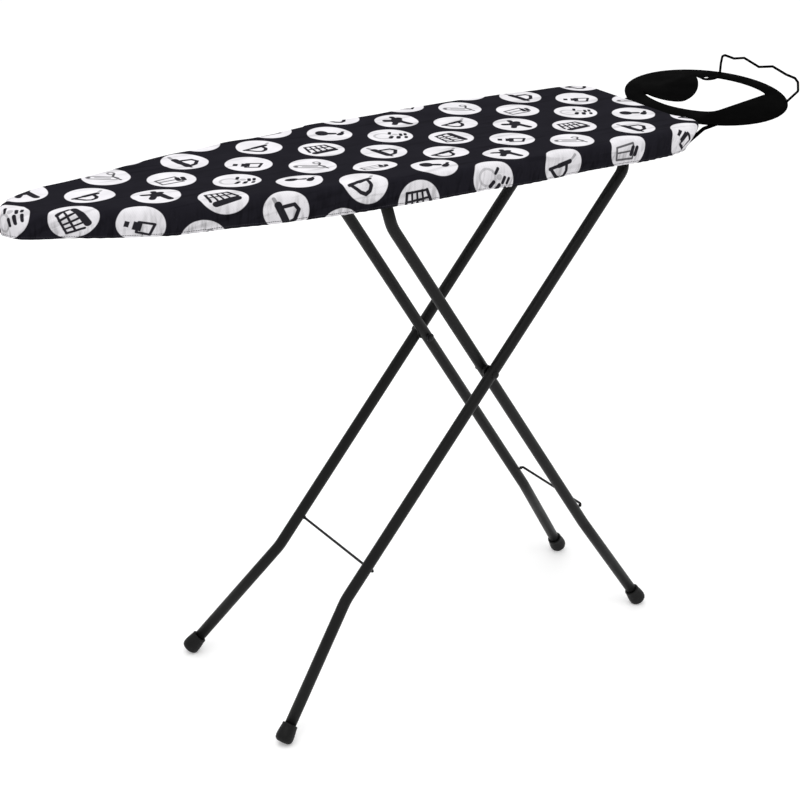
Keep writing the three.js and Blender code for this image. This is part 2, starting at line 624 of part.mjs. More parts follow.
function buildPivots() {
  const outerFace = OUTER_HALF + TUBE_R;
  const innerY = THREE.MathUtils.mapLinear(PIVOT.z, INNER_SPLAY_AT * Math.sin(INNER_LEAN),
    INNER_KNEE_Z, INNER_HALF_LOW, INNER_HALF_TOP);
  const innerFace = innerY - TUBE_R;
  const ring = (inner, outer, thickness) => [[inner, 0], [outer, 0], [outer, thickness],
    [inner, thickness], [inner, 0]];
  SIDES.forEach(([label, side]) => {
    const along = vec(0, side, 0);
    const spot = (y) => vec(PIVOT.x, side * y, PIVOT.z);
    const reach = outerFace + GAP - (innerFace - 4);
    const rivet = [[0, -1.8], [4.6, -1.4], [4.6, 0], [3, 0], [3, reach], [7.5, reach],
      [6.6, reach + 1.8], [4, reach + 2.8], [0, reach + 3]];
    addPiece(`pivot_rivet_${label}`, turned(rivet, spot(innerFace - 4), along, 16), 'satin');
    addPiece(`pivot_washer_${label}`,
      turned(ring(3.4, 8, 1.4), spot(innerFace - 3.4), along, 16), 'zinc');
    const spacerFrom = innerY + TUBE_R + GAP;
    const spacerTo = OUTER_HALF - TUBE_R - GAP;
    addPiece(`pivot_spacer_${label}`,
      turned(ring(3.4, 12, spacerTo - spacerFrom), spot(spacerFrom), along, 20), 'plastic');
  });
}

buildBoard();
buildRail();
buildLever();
buildHingeStraps();
buildIronRest();
buildOuterFrame();
buildInnerFrame();
buildPivots();

export default ironingBoard;
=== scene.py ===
"""Looks of a folding ironing board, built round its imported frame."""

import logging
import math
from dataclasses import dataclass, field
from enum import Enum
from typing import Any, Iterable, Optional, Sequence, Union

import bpy
import numpy as np
from mathutils import Matrix, Vector, noise
from mathutils.geometry import interpolate_bezier


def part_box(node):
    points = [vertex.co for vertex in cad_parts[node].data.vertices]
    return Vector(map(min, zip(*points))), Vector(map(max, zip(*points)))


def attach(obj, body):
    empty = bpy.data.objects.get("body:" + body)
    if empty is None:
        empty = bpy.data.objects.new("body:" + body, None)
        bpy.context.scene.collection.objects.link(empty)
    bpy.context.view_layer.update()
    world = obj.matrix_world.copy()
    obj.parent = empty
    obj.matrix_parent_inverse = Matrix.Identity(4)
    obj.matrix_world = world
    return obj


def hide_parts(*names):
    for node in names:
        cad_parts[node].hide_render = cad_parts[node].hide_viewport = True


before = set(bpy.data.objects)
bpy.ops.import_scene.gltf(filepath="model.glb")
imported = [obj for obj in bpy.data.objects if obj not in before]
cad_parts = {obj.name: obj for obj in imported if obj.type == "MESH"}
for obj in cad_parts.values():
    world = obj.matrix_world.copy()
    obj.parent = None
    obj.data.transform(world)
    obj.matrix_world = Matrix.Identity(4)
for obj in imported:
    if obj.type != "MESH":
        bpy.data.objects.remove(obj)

LOG = logging.getLogger("ironing_board")
MM = 0.001
Point = tuple[float, float, float]
Plan = tuple[float, float]


class Side(Enum):
    """Left is +Y and right is -Y, seen from the nose towards the tail."""

    LEFT = 1
    RIGHT = -1

    @property
    def tag(self) -> str:
        """The side's name as the frame's nodes spell it."""
        return self.name.lower()


# ---- nodes and colours ----------------------------------------------------------------------


def linear(code: str) -> tuple[float, float, float, float]:
    """Turns an sRGB hex colour into linear light.

    Args:
        code: the colour as "#rrggbb".

    Returns:
        Red, green, blue and an alpha of one.
    """
    levels = [int(code[i : i + 2], 16) / 255 for i in (1, 3, 5)]
    light = [v / 12.92 if v <= 0.04045 else ((v + 0.055) / 1.055) ** 2.4 for v in levels]
    return (light[0], light[1], light[2], 1.0)


def add_node(
    tree: bpy.types.NodeTree,
    kind: str,
    inputs: Optional[dict[Union[int, str], Any]] = None,
    **settings: Any,
) -> bpy.types.Node:
    """Adds one node with its settings and its links.

    Args:
        tree: the node tree.
        kind: the node's type.
        inputs: for each input, a value, a socket, or a node whose first output is meant.
        **settings: attributes of the node.

    Returns:
        The new node.
    """
    node = tree.nodes.new(kind)
    for name, value in settings.items():
        setattr(node, name, value)
    for name, source in (inputs or {}).items():
        if isinstance(source, bpy.types.Node):
            source = source.outputs[0]
        if isinstance(source, bpy.types.NodeSocket):
            tree.links.new(source, node.inputs[name])
        else:
            node.inputs[name].default_value = source
    return node


# ---- finishes -------------------------------------------------------------------------------


@dataclass(frozen=True)
class Finish:
    """A surface finish: its name, its colour and how smooth it is."""

    name: str
    colour: str
    roughness: float
    metallic: float = 0.0
    reflection: float = 0.5

    def material(self) -> bpy.types.Material:
        """Makes the material, or returns it if it is already made.

        Returns:
            The material with all its nodes.
        """
        found = bpy.data.materials.get(self.name)
        if found:
            return found
        material = bpy.data.materials.new(self.name)
        material.use_nodes = True
        tree = material.node_tree
        shader = tree.nodes["Principled BSDF"]
        shader.inputs["Metallic"].default_value = self.metallic
        shader.inputs["Specular IOR Level"].default_value = self.reflection
        self.surface(tree, shader)
        material.diffuse_color = linear(self.colour)
        return material

    def surface(self, tree: bpy.types.NodeTree, shader: bpy.types.Node) -> None:
        """Gives the shader its colour, roughness and relief.

        Args:
            tree: the material's node tree.
            shader: its Principled BSDF.
        """
        place = add_node(tree, "ShaderNodeTexCoord").outputs["Object"]
        self.mottle(tree, shader, place, 60.0, 0.12, 0.06)

    def mottle(
        self,
        tree: bpy.types.NodeTree,
        shader: bpy.types.Node,
        place: bpy.types.NodeSocket,
        scale: float,
        shade: float,
        gloss: float,
    ) -> None:
        """Varies colour and roughness softly, as any coated or moulded surface does.

        Args:
            tree: the material's node tree.
            shader: its Principled BSDF.
            place: the coordinates.
            scale: patches per metre.
            shade: how much lighter and darker the patches are.
            gloss: how much rougher and smoother they are.
        """
        patches = add_node(tree, "ShaderNodeTexNoise",
                           {"Vector": place, "Scale": scale, "Detail": 3.0})
        level = add_node(tree, "ShaderNodeMapRange",
                         {"Value": patches, "From Min": 0.3, "From Max": 0.7,
                          "To Min": 1 - shade, "To Max": 1 + shade})
        colour = add_node(tree, "ShaderNodeVectorMath",
                          {0: linear(self.colour)[:3], "Scale": level}, operation="SCALE")
        rough = add_node(tree, "ShaderNodeMapRange",
                         {"Value": patches, "From Min": 0.3, "From Max": 0.7,
                          "To Min": self.roughness - gloss, "To Max": self.roughness + gloss})
        tree.links.new(colour.outputs[0], shader.inputs["Base Color"])
        tree.links.new(rough.outputs[0], shader.inputs["Roughness"])

    def relief(
        self,
        tree: bpy.types.NodeTree,
        shader: bpy.types.Node,
        height: Union[bpy.types.Node, bpy.types.NodeSocket],
        depth: float,
        strength: float = 1.0,
    ) -> None:
        """Presses a height pattern into the surface.

        Args:
            tree: the material's node tree.
            shader: its Principled BSDF.
            height: the pattern, from 0 to 1.
            depth: the pattern's depth in metres.
            strength: how much of it shows.
        """
        bump = add_node(tree, "ShaderNodeBump",
                        {"Height": height, "Distance": depth, "Strength": strength})
        tree.links.new(bump.outputs[0], shader.inputs["Normal"])


@dataclass(frozen=True)
class PowderCoat(Finish):
    """Polyester powder coat, sprayed dry and baked: satin, with a fine orange peel."""

    peel_mm: float = 2.2  # real peel is about 1 mm, drawn coarser so that it shows
    peel_depth: float = 0.05 * MM

    def surface(self, tree: bpy.types.NodeTree, shader: bpy.types.Node) -> None:
        """Satin paint with orange peel, a little thinner and lighter in patches.

        Args:
            tree: the material's node tree.
            shader: its Principled BSDF.
        """
        place = add_node(tree, "ShaderNodeTexCoord").outputs["Object"]
        self.mottle(tree, shader, place, 25.0, 0.14, 0.07)
        peel = add_node(tree, "ShaderNodeTexNoise",
                        {"Vector": place, "Scale": 1 / (self.peel_mm * MM), "Detail": 2.0})
        self.relief(tree, shader, peel, self.peel_depth, 0.5)


@dataclass(frozen=True)
class ZincPlate(Finish):
    """Bright zinc on drawn steel: fine lengthwise streaks and a cloudy passivation."""

    def surface(self, tree: bpy.types.NodeTree, shader: bpy.types.Node) -> None:
        """Streaked metal, drawn along Y as the bar and pins lie.

        Args:
            tree: the material's node tree.
            shader: its Principled BSDF.
        """
        place = add_node(tree, "ShaderNodeTexCoord").outputs["Object"]
        self.mottle(tree, shader, place, 90.0, 0.10, 0.08)
        stretched = add_node(tree, "ShaderNodeMapping",
                             {"Vector": place, "Scale": (900.0, 25.0, 900.0)})
        streaks = add_node(tree, "ShaderNodeTexNoise",
                           {"Vector": stretched, "Scale": 1.0, "Detail": 2.0})
        self.relief(tree, shader, streaks, 0.03 * MM, 0.4)


@dataclass(frozen=True)
class MouldedPlastic(Finish):
    """Injection-moulded black plastic with a spark-eroded grain."""

    grain_mm: float = 0.9  # real grain is about 0.3 mm, drawn coarser so that it shows

    def surface(self, tree: bpy.types.NodeTree, shader: bpy.types.Node) -> None:
        """Dull plastic with a fine even grain and slight flow marks.

        Args:
            tree: the material's node tree.
            shader: its Principled BSDF.
        """
        place = add_node(tree, "ShaderNodeTexCoord").outputs["Object"]
        self.mottle(tree, shader, place, 40.0, 0.12, 0.05)
        grain = add_node(tree, "ShaderNodeTexNoise",
                         {"Vector": place, "Scale": 1 / (self.grain_mm * MM), "Detail": 1.0})
        self.relief(tree, shader, grain, 0.06 * MM, 0.6)


@dataclass(frozen=True)
class Felt(Finish):
    """Needled polyester felt: matted fibres with small hollows from the needles."""

    fibre_mm: float = 1.6

    def surface(self, tree: bpy.types.NodeTree, shader: bpy.types.Node) -> None:
        """Soft matted fibres, without any gloss.

        Args:
            tree: the material's node tree.
            shader: its Principled BSDF.
        """
        place = add_node(tree, "ShaderNodeTexCoord").outputs["Object"]
        self.mottle(tree, shader, place, 180.0, 0.08, 0.02)
        shader.inputs["Sheen Weight"].default_value = 0.3
        fibres = add_node(tree, "ShaderNodeTexNoise",
                          {"Vector": place, "Scale": 1 / (self.fibre_mm * MM), "Detail": 6.0,
                           "Distortion": 1.5})
        self.relief(tree, shader, fibres, 0.5 * MM, 0.8)


class Motif(Enum):
    """The pictures of the print, each numbered as the repeat table gives it."""

    FLAT_IRON = 0
    HAND_BRUSH = 1
    SHIRT = 2
    CLOTHES_BRUSH = 3
    UPRIGHT_IRON = 4
    FOLDED_CLOTH = 5
    BOTTLE = 6
    BASKET = 7
    BUBBLES = 8
    TURNED_BASKET = 9


@dataclass(frozen=True)
class PrintedCotton(Finish):
    """Plain-woven cotton, printed with round white spots that each hold a small picture.

    The spots stand on a slanting lattice in the cloth's flat cut, given in millimetres.
    """

    spot_colour: str = "#e4e2e6"
    painted_skirt_shade: float = 0.84  # painted shade: the skirt's colour is a little darker towards the hem, standing in for the shade on its upright sides
    spot_radius: float = 33.5
    origin: Plan = (-233.7, 76.7)
    step_down: Plan = (-51.71, -62.64)
    step_right: Plan = (73.33, -52.32)
    sewing_colour: str = "#3a393e"
    sewn_at: float = 41.0  # how far down the skirt the hem is sewn
    edge_length: float = 2470.0  # once round the board
    thread_mm: float = 1.5  # real threads are about 0.5 mm apart, drawn coarser so they show
    repeat: tuple[tuple[Motif, ...], ...] = (
        (Motif.FLAT_IRON, Motif.HAND_BRUSH, Motif.SHIRT, Motif.CLOTHES_BRUSH, Motif.UPRIGHT_IRON),
        (Motif.BOTTLE, Motif.BASKET, Motif.BUBBLES, Motif.FLAT_IRON, Motif.FOLDED_CLOTH),
        (Motif.BUBBLES, Motif.CLOTHES_BRUSH, Motif.UPRIGHT_IRON, Motif.TURNED_BASKET, Motif.SHIRT),
        (Motif.BASKET, Motif.HAND_BRUSH, Motif.FOLDED_CLOTH, Motif.FLAT_IRON, Motif.BOTTLE),
    )

    def surface(self, tree: bpy.types.NodeTree, shader: bpy.types.Node) -> None:
        """Charcoal ground, white spots, dark pictures, a sewn hem, folds and a plain weave, with
        painted shade down the skirt and in the folds.

        Args:
            tree: the material's node tree.
            shader: its Principled BSDF.
        """
        uv = add_node(tree, "ShaderNodeUVMap", uv_map="cut")
        flat = add_node(tree, "ShaderNodeMapping",
                        {"Vector": uv, "Scale": (1300.0, 1300.0, 0.0),
                         "Location": (-750.0, -250.0, 0.0)})
        local, code = self.lattice(tree, flat)
        spot_distance = add_node(tree, "ShaderNodeVectorMath", {0: local}, operation="LENGTH")
        spot = add_node(tree, "ShaderNodeMapRange",
                        {"Value": spot_distance.outputs["Value"],
                         "From Min": self.spot_radius - 0.5, "From Max": self.spot_radius + 0.5,
                         "To Min": 1.0, "To Max": 0.0})
        ink = SpotPictures(tree, local, code, self.repeat).ink()
        white = add_node(tree, "ShaderNodeMath", {0: spot, 1: ink}, operation="MULTIPLY")
        clear = add_node(tree, "ShaderNodeMath", {0: spot, 1: white}, operation="SUBTRACT")
        clear.use_clamp = True

        place = add_node(tree, "ShaderNodeTexCoord").outputs["Object"]
        wash = add_node(tree, "ShaderNodeTexNoise",
                        {"Vector": place, "Scale": 35.0, "Detail": 4.0})
        shade = add_node(tree, "ShaderNodeMapRange",
                         {"Value": wash, "From Min": 0.3, "From Max": 0.7,
                          "To Min": 0.90, "To Max": 1.08})
        printed = add_node(tree, "ShaderNodeMix",
                           {0: clear, 6: linear(self.colour), 7: linear(self.spot_colour)},
                           data_type="RGBA")
        weave = self.weave(tree, flat)
        threads = add_node(tree, "ShaderNodeMapRange",
                           {"Value": weave, "To Min": 0.90, "To Max": 1.06})
        up = add_node(tree, "ShaderNodeSeparateXYZ", {"Vector": place})
        # painted shade: the colour darkens down the skirt towards the hem, standing in for the
        # shade on the cloth's upright sides
        skirt_shade_factor = add_node(tree, "ShaderNodeMapRange",
                          {"Value": up.outputs[2], "From Min": 0.817, "From Max": 0.856,
                           "To Min": self.painted_skirt_shade, "To Max": 1.0})
        cloth = add_node(tree, "ShaderNodeMath", {0: shade, 1: threads}, operation="MULTIPLY")
        tone_and_shade = add_node(tree, "ShaderNodeMath", {0: cloth, 1: skirt_shade_factor}, operation="MULTIPLY")
        edge = add_node(tree, "ShaderNodeSeparateXYZ",
                        {"Vector": add_node(tree, "ShaderNodeUVMap", uv_map="edge")})
        across = add_node(tree, "ShaderNodeMath", {0: edge.outputs[0], 1: self.edge_length},
                          operation="MULTIPLY")
        down = add_node(tree, "ShaderNodeMath", {0: edge.outputs[1], 1: 300.0, 2: -200.0},
                        operation="MULTIPLY_ADD")
        sewing = self.sewing(tree, across, down)
        sewn = add_node(tree, "ShaderNodeMix",
                        {0: sewing, 6: printed.outputs[2], 7: linear(self.sewing_colour)},
                        data_type="RGBA")
        height, light = self.folds(tree, flat, across, down)
        lit = add_node(tree, "ShaderNodeMath", {0: tone_and_shade, 1: light}, operation="MULTIPLY")
        colour = add_node(tree, "ShaderNodeVectorMath",
                          {0: sewn.outputs[2], "Scale": lit}, operation="SCALE")
        tree.links.new(colour.outputs[0], shader.inputs["Base Color"])
        shader.inputs["Roughness"].default_value = self.roughness
        shader.inputs["Sheen Weight"].default_value = 0.01
        shader.inputs["Sheen Roughness"].default_value = 0.5
        raised = add_node(tree, "ShaderNodeMath", {0: sewing, 1: 4.0, 2: weave},
                          operation="MULTIPLY_ADD")
        folded = add_node(tree, "ShaderNodeMath", {0: height, 1: raised}, operation="ADD")
        self.relief(tree, shader, folded, 0.12 * MM, 0.6)

    def sewing(
        self, tree: bpy.types.NodeTree, across: bpy.types.Node, down: bpy.types.Node
    ) -> bpy.types.Node:
        """Draws the line of stitches that holds the turned-in hem, 3.2 mm to a stitch.

        Args:
            tree: the material's node tree.
            across: how far round the board, in millimetres.
            down: how far down the skirt, in millimetres.

        Returns:
            A node that is 1 on a stitch and 0 elsewhere.
        """
        pitch = add_node(tree, "ShaderNodeMath", {0: across, 1: 3.2}, operation="DIVIDE")
        along = add_node(tree, "ShaderNodeMath", {0: pitch}, operation="FRACT")
        stitch = add_node(tree, "ShaderNodeMapRange",
                          {"Value": along, "From Min": 0.66, "From Max": 0.76,
                           "To Min": 1.0, "To Max": 0.0})
        aside = add_node(tree, "ShaderNodeMath", {0: down, 1: self.sewn_at},
                         operation="SUBTRACT")
        off = add_node(tree, "ShaderNodeMath", {0: aside}, operation="ABSOLUTE")
        line = add_node(tree, "ShaderNodeMapRange",
                        {"Value": off, "From Min": 0.3, "From Max": 0.55,
                         "To Min": 1.0, "To Max": 0.0})
        return add_node(tree, "ShaderNodeMath", {0: stitch, 1: line}, operation="MULTIPLY")

    def folds(
        self,
        tree: bpy.types.NodeTree,
        flat: bpy.types.Node,
        across: bpy.types.Node,
        down: bpy.types.Node,
    ) -> tuple[bpy.types.Node, bpy.types.Node]:
        """Draws small folds: upright where elastic gathers the skirt, lengthwise on top, with
        painted shade in their hollows.

        Args:
            tree: the material's node tree.
            flat: the cloth's flat coordinates in millimetres.
            across: how far round the board, in millimetres.
            down: how far down the skirt, in millimetres.

        Returns:
            A node with the folds' height, in depths of the weave, and a node with the painted
            shade in the colour: how much light reaches the bottom of each fold.
        """
        skirt = add_node(tree, "ShaderNodeCombineXYZ", {"X": across, "Y": down})
        upright = add_node(tree, "ShaderNodeMapping",
                           {"Vector": skirt, "Scale": (1 / 7.0, 1 / 34.0, 0.0)})
        gathers = add_node(tree, "ShaderNodeTexNoise",
                           {"Vector": upright, "Scale": 1.0, "Detail": 2.0, "Distortion": 0.6})
        depth = add_node(tree, "ShaderNodeMapRange",
                         {"Value": down, "From Min": 2.0, "From Max": 34.0,
                          "To Min": 0.0, "To Max": 17.0})
        pleats = add_node(tree, "ShaderNodeMath", {0: gathers, 1: depth},
                          operation="MULTIPLY")
        lying = add_node(tree, "ShaderNodeMapping",
                         {"Vector": flat, "Rotation": (0.0, 0.0, 0.06),
                          "Scale": (1 / 130.0, 1 / 13.0, 0.0)})
        creases = add_node(tree, "ShaderNodeTexNoise",
                           {"Vector": lying, "Scale": 1.0, "Detail": 2.5, "Distortion": 0.4})
        height = add_node(tree, "ShaderNodeMath", {0: creases, 1: 11.0, 2: pleats},
                          operation="MULTIPLY_ADD")
        # painted shade: the colour darkens in the hollows of the gathers and along the creases,
        # where less light falls
        hollow = add_node(tree, "ShaderNodeMapRange",
                          {"Value": gathers, "From Min": 0.34, "From Max": 0.52,
                           "To Min": 0.021, "To Max": 0.0})
        upright_light = add_node(tree, "ShaderNodeMath", {0: hollow, 1: depth},
                                 operation="MULTIPLY")
        crease_light = add_node(tree, "ShaderNodeMapRange",
                                {"Value": creases, "From Min": 0.34, "From Max": 0.44,
                                 "To Min": 0.80, "To Max": 1.0})
        light = add_node(tree, "ShaderNodeMath", {0: crease_light, 1: upright_light},
                         operation="SUBTRACT")
        return height, light

    def weave(self, tree: bpy.types.NodeTree, flat: bpy.types.Node) -> bpy.types.Node:
        """Draws warp and weft threads that cross over and under.

        Args:
            tree: the material's node tree.
            flat: the cloth's flat coordinates in millimetres.

        Returns:
            A node whose output is the threads' height.
        """
        turn = math.tau / (2 * self.thread_mm)
        axes = add_node(tree, "ShaderNodeSeparateXYZ", {"Vector": flat})
        waves = []
        for axis in (0, 1):
            phase = add_node(tree, "ShaderNodeMath",
                             {0: axes.outputs[axis], 1: turn}, operation="MULTIPLY")
            waves.append(add_node(tree, "ShaderNodeMath", {0: phase}, operation="SINE"))
        crossing = add_node(tree, "ShaderNodeMath", {0: waves[0], 1: waves[1]},
                            operation="MULTIPLY")
        return add_node(tree, "ShaderNodeMapRange",
                        {"Value": crossing, "From Min": -1.0, "From Max": 1.0})

    def lattice(
        self, tree: bpy.types.NodeTree, flat: bpy.types.Node
    ) -> tuple[bpy.types.Node, bpy.types.Node]:
        """Finds the nearest spot and which picture it holds.

        Args:
            tree: the material's node tree.
            flat: the cloth's flat coordinates in millimetres.

        Returns:
            A node with the place inside the spot in millimetres, and a node with the
            spot's number in the repeat table.
        """
        (ax, ay), (bx, by) = self.step_down, self.step_right
        area = ax * by - ay * bx
        away = add_node(tree, "ShaderNodeVectorMath",
                        {0: flat, 1: (self.origin[0], self.origin[1], 0.0)},
                        operation="SUBTRACT")
        counts = []
        for across in ((by / area, -bx / area, 0.0), (-ay / area, ax / area, 0.0)):
            share = add_node(tree, "ShaderNodeVectorMath", {0: away, 1: across},
                             operation="DOT_PRODUCT")
            counts.append(add_node(tree, "ShaderNodeMath", {0: share.outputs["Value"]},
                                   operation="ROUND"))
        local = away
        for count, step in zip(counts, (self.step_down, self.step_right)):
            shift = add_node(tree, "ShaderNodeVectorMath",
                             {0: (step[0], step[1], 0.0), "Scale": count}, operation="SCALE")
            local = add_node(tree, "ShaderNodeVectorMath", {0: local, 1: shift},
                             operation="SUBTRACT")
        row = add_node(tree, "ShaderNodeMath", {0: counts[0], 1: counts[1]}, operation="ADD")
        quarter = add_node(tree, "ShaderNodeMath", {0: row, 1: 4.0}, operation="DIVIDE")
        block = add_node(tree, "ShaderNodeMath", {0: quarter}, operation="FLOOR")
        block_row = add_node(tree, "ShaderNodeMath", {0: block, 1: -4.0, 2: row},
                             operation="MULTIPLY_ADD")
        slide = add_node(tree, "ShaderNodeMath", {0: block, 1: -2.0, 2: counts[1]},
                         operation="MULTIPLY_ADD")
        column = add_node(tree, "ShaderNodeMath", {0: slide, 1: 5.0},
                          operation="FLOORED_MODULO")
        code = add_node(tree, "ShaderNodeMath", {0: block_row, 1: 5.0, 2: column},
                        operation="MULTIPLY_ADD")
        return local, code


class SpotPictures:
    """Draws the print's pictures as distances to discs, bars and strokes, in millimetres."""

    spread = 0.55  # the ink spreads this far past the drawn shapes

    def __init__(
        self,
        tree: bpy.types.NodeTree,
        local: bpy.types.Node,
        code: bpy.types.Node,
        repeat: tuple[tuple[Motif, ...], ...],
    ) -> None:
        """Keeps what every picture is drawn from.

        Args:
            tree: the material's node tree.
            local: the place inside the spot.
            code: the spot's number in the repeat table.
            repeat: the table, row by row.
        """
        self.tree = tree
        self.local = local
        self.code = code
        self.repeat = [motif for row in repeat for motif in row]

    def disc(self, x: float, y: float, radius: float) -> bpy.types.Node:
        """Draws a filled disc.

        Args:
            x: its centre across the spot.
            y: its centre up the spot.
            radius: its radius.

        Returns:
            A node with the distance to it, below zero inside.
        """
        gap = add_node(self.tree, "ShaderNodeVectorMath",
                       {0: self.local, 1: (x, y, 0.0)}, operation="DISTANCE")
        return add_node(self.tree, "ShaderNodeMath",
                        {0: gap.outputs["Value"], 1: radius}, operation="SUBTRACT")

    def bar(
        self, x: float, y: float, half_x: float, half_y: float, turn: float = 0.0
    ) -> bpy.types.Node:
        """A filled bar about x, y, turned by some degrees.

        Args:
            x: its middle along the board.
            y: its middle across the board.
            half_x: half its length.
            half_y: half its height.
            turn: its turn in degrees.

        Returns:
            The distance node, negative inside.
        """
        moved = add_node(self.tree, "ShaderNodeVectorMath",
                         {0: self.local, 1: (x, y, 0.0)}, operation="SUBTRACT")
        turned = add_node(self.tree, "ShaderNodeVectorRotate",
                          {"Vector": moved, "Angle": math.radians(-turn)},
                          rotation_type="Z_AXIS")
        folded = add_node(self.tree, "ShaderNodeVectorMath", {0: turned},
                          operation="ABSOLUTE")
        beyond = add_node(self.tree, "ShaderNodeVectorMath",
                          {0: folded, 1: (half_x, half_y, 0.0)}, operation="SUBTRACT")
        parts = add_node(self.tree, "ShaderNodeSeparateXYZ", {"Vector": beyond})
        return add_node(self.tree, "ShaderNodeMath",
                        {0: parts.outputs[0], 1: parts.outputs[1]}, operation="MAXIMUM")

    def stroke(self, start: Plan, end: Plan, half: float) -> bpy.types.Node:
        """A round-ended stroke from start to end.

        Args:
            start: where it starts.
            end: where it ends.
            half: half its width.

        Returns:
            The distance node, negative inside.
        """
        run = (end[0] - start[0], end[1] - start[1])
        length = run[0] ** 2 + run[1] ** 2
        moved = add_node(self.tree, "ShaderNodeVectorMath",
                         {0: self.local, 1: (start[0], start[1], 0.0)}, operation="SUBTRACT")
        share = add_node(self.tree, "ShaderNodeVectorMath",
                         {0: moved, 1: (run[0] / length, run[1] / length, 0.0)},
                         operation="DOT_PRODUCT")
        held = add_node(self.tree, "ShaderNodeClamp", {"Value": share.outputs["Value"]})
        foot = add_node(self.tree, "ShaderNodeVectorMath",
                        {0: (run[0], run[1], 0.0), "Scale": held}, operation="SCALE")
        gap = add_node(self.tree, "ShaderNodeVectorMath", {0: moved, 1: foot},
                       operation="DISTANCE")
        return add_node(self.tree, "ShaderNodeMath",
                        {0: gap.outputs["Value"], 1: half}, operation="SUBTRACT")

    def outline(self, shape: bpy.types.Node, half: float) -> bpy.types.Node:
        """Draws a line along a shape's edge.

        Args:
            shape: the distance to the shape.
            half: half the line's width.

        Returns:
            A node with the distance to the line, below zero inside.
        """
        near = add_node(self.tree, "ShaderNodeMath", {0: shape}, operation="ABSOLUTE")
        return add_node(self.tree, "ShaderNodeMath", {0: near, 1: half},
                        operation="SUBTRACT")

    def chain(self, points: Sequence[Plan], half: float) -> list[bpy.types.Node]:
        """Strokes from each point to the next."""
        return [self.stroke(a, b, half) for a, b in zip(points, points[1:])]

    def shapes(self, motif: Motif) -> list[tuple[float, list[bpy.types.Node]]]:
        """Draws one picture.

        Args:
            motif: which picture.

        Returns:
            For each strength of ink, the distances of the shapes printed with it.
        """
        if motif is Motif.FLAT_IRON:
            handle = ((-22, -4), (-13, -16), (-6, -20), (1, -17), (6, -9), (6, 1))
            return [
                (0.99, [self.stroke((-25, -2), (-8, 1), 2.2), self.stroke((-8, 1), (12, 5), 3.3),
                        *self.chain(handle, 2.2)]),
                (0.50, [self.stroke((13, 6), (22, 14), 1.6)]),
            ]
        if motif is Motif.HAND_BRUSH:
            return [
                (0.99, [self.disc(-8, 9, 9.5), self.stroke((-3, 6), (8, 0), 3.6),
                        self.stroke((12, -9), (17, -5), 4.2), self.stroke((16, -6), (24, 2), 2.0)]),
            ]
        if motif is Motif.SHIRT:
            return [
                (0.99, [self.disc(1, 1, 9.5), self.disc(9, 8, 5.5),
                        self.stroke((2, 8), (4, 20), 3.6), self.stroke((0, 2), (-15, 8), 4.2),
                        self.stroke((-2, -2), (-11, -12), 4.0),
                        self.stroke((6, -4), (11, -21), 4.4)]),
            ]
        if motif is Motif.CLOTHES_BRUSH:
            return [
                (0.65, [self.outline(self.stroke((-20, 7), (9, -9), 5.0), 1.1),
                        self.stroke((-14, 4), (4, -6), 0.8),
                        self.outline(self.disc(12, 10, 4.5), 1.1)]),
                (0.90, [self.disc(-22, 8, 2.4),
                        *self.chain(((16, 7), (10, -1), (14, -19)), 1.1)]),
            ]
        if motif is Motif.UPRIGHT_IRON:
            handle = ((-2, 7), (14, 6), (18, -3), (9, -16), (-1, -19))
            return [
                (0.99, [self.stroke((-9, 12), (-4, -18), 5.0),
                        self.stroke((-4, -18), (-2, -25), 1.8),
                        *self.chain(handle, 2.3)]),
                (0.60, [self.stroke((-11, 15), (-12, 24), 2.2)]),
            ]
        if motif is Motif.FOLDED_CLOTH:
            sheet = ((-23, 4), (9, 9), (11, -15), (-21, -16), (-23, 4))
            return [
                (0.85, [*self.chain(sheet, 1.2), self.stroke((-22, -5), (10, -3), 0.9)]),
                (0.99, [self.stroke((7, -8), (9, 2), 3.0), self.stroke((15, -9), (17, 1), 2.8)]),
            ]
        if motif is Motif.BOTTLE:
            label = ((-1, 4), (18, -6), (5, -20), (-11, -11), (-1, 4))
            return [
                (0.99, [self.bar(-18, 6, 2.8, 4.6, -35.0), self.bar(-6, -2, 5.5, 6.8, -35.0),
                        *self.chain(label, 1.5)]),
            ]
        if motif in (Motif.BASKET, Motif.TURNED_BASKET):
            return [
                (0.99, [self.stroke((-16, 19), (14, 17), 1.2), self.stroke((-20, 7), (17, 6), 1.2),
                        self.stroke((-17, 19), (-22, -5), 1.6),
                        self.stroke((-9, 19), (-12, -6), 1.2),
                        self.stroke((-1, 18), (-3, -6), 1.2), self.stroke((7, 18), (7, -6), 1.2),
                        self.stroke((15, 17), (20, -3), 1.9),
                        self.stroke((-17, -12), (17, -9), 4.6)]),
            ]
        return [
            (0.99, [self.stroke((4, 9), (9, 16), 1.9), self.stroke((-6, -10), (0, -4), 2.7),
                    self.stroke((4, -16), (9, -9), 2.7), self.stroke((15, -6), (19, 2), 2.0),
                    self.stroke((22, -7), (26, 0), 1.8), self.stroke((15, -20), (19, -14), 2.0)]),
            (0.35, [self.outline(self.disc(-10, 4, 13.0), 1.3), self.disc(10, 3, 4.0)]),
        ]

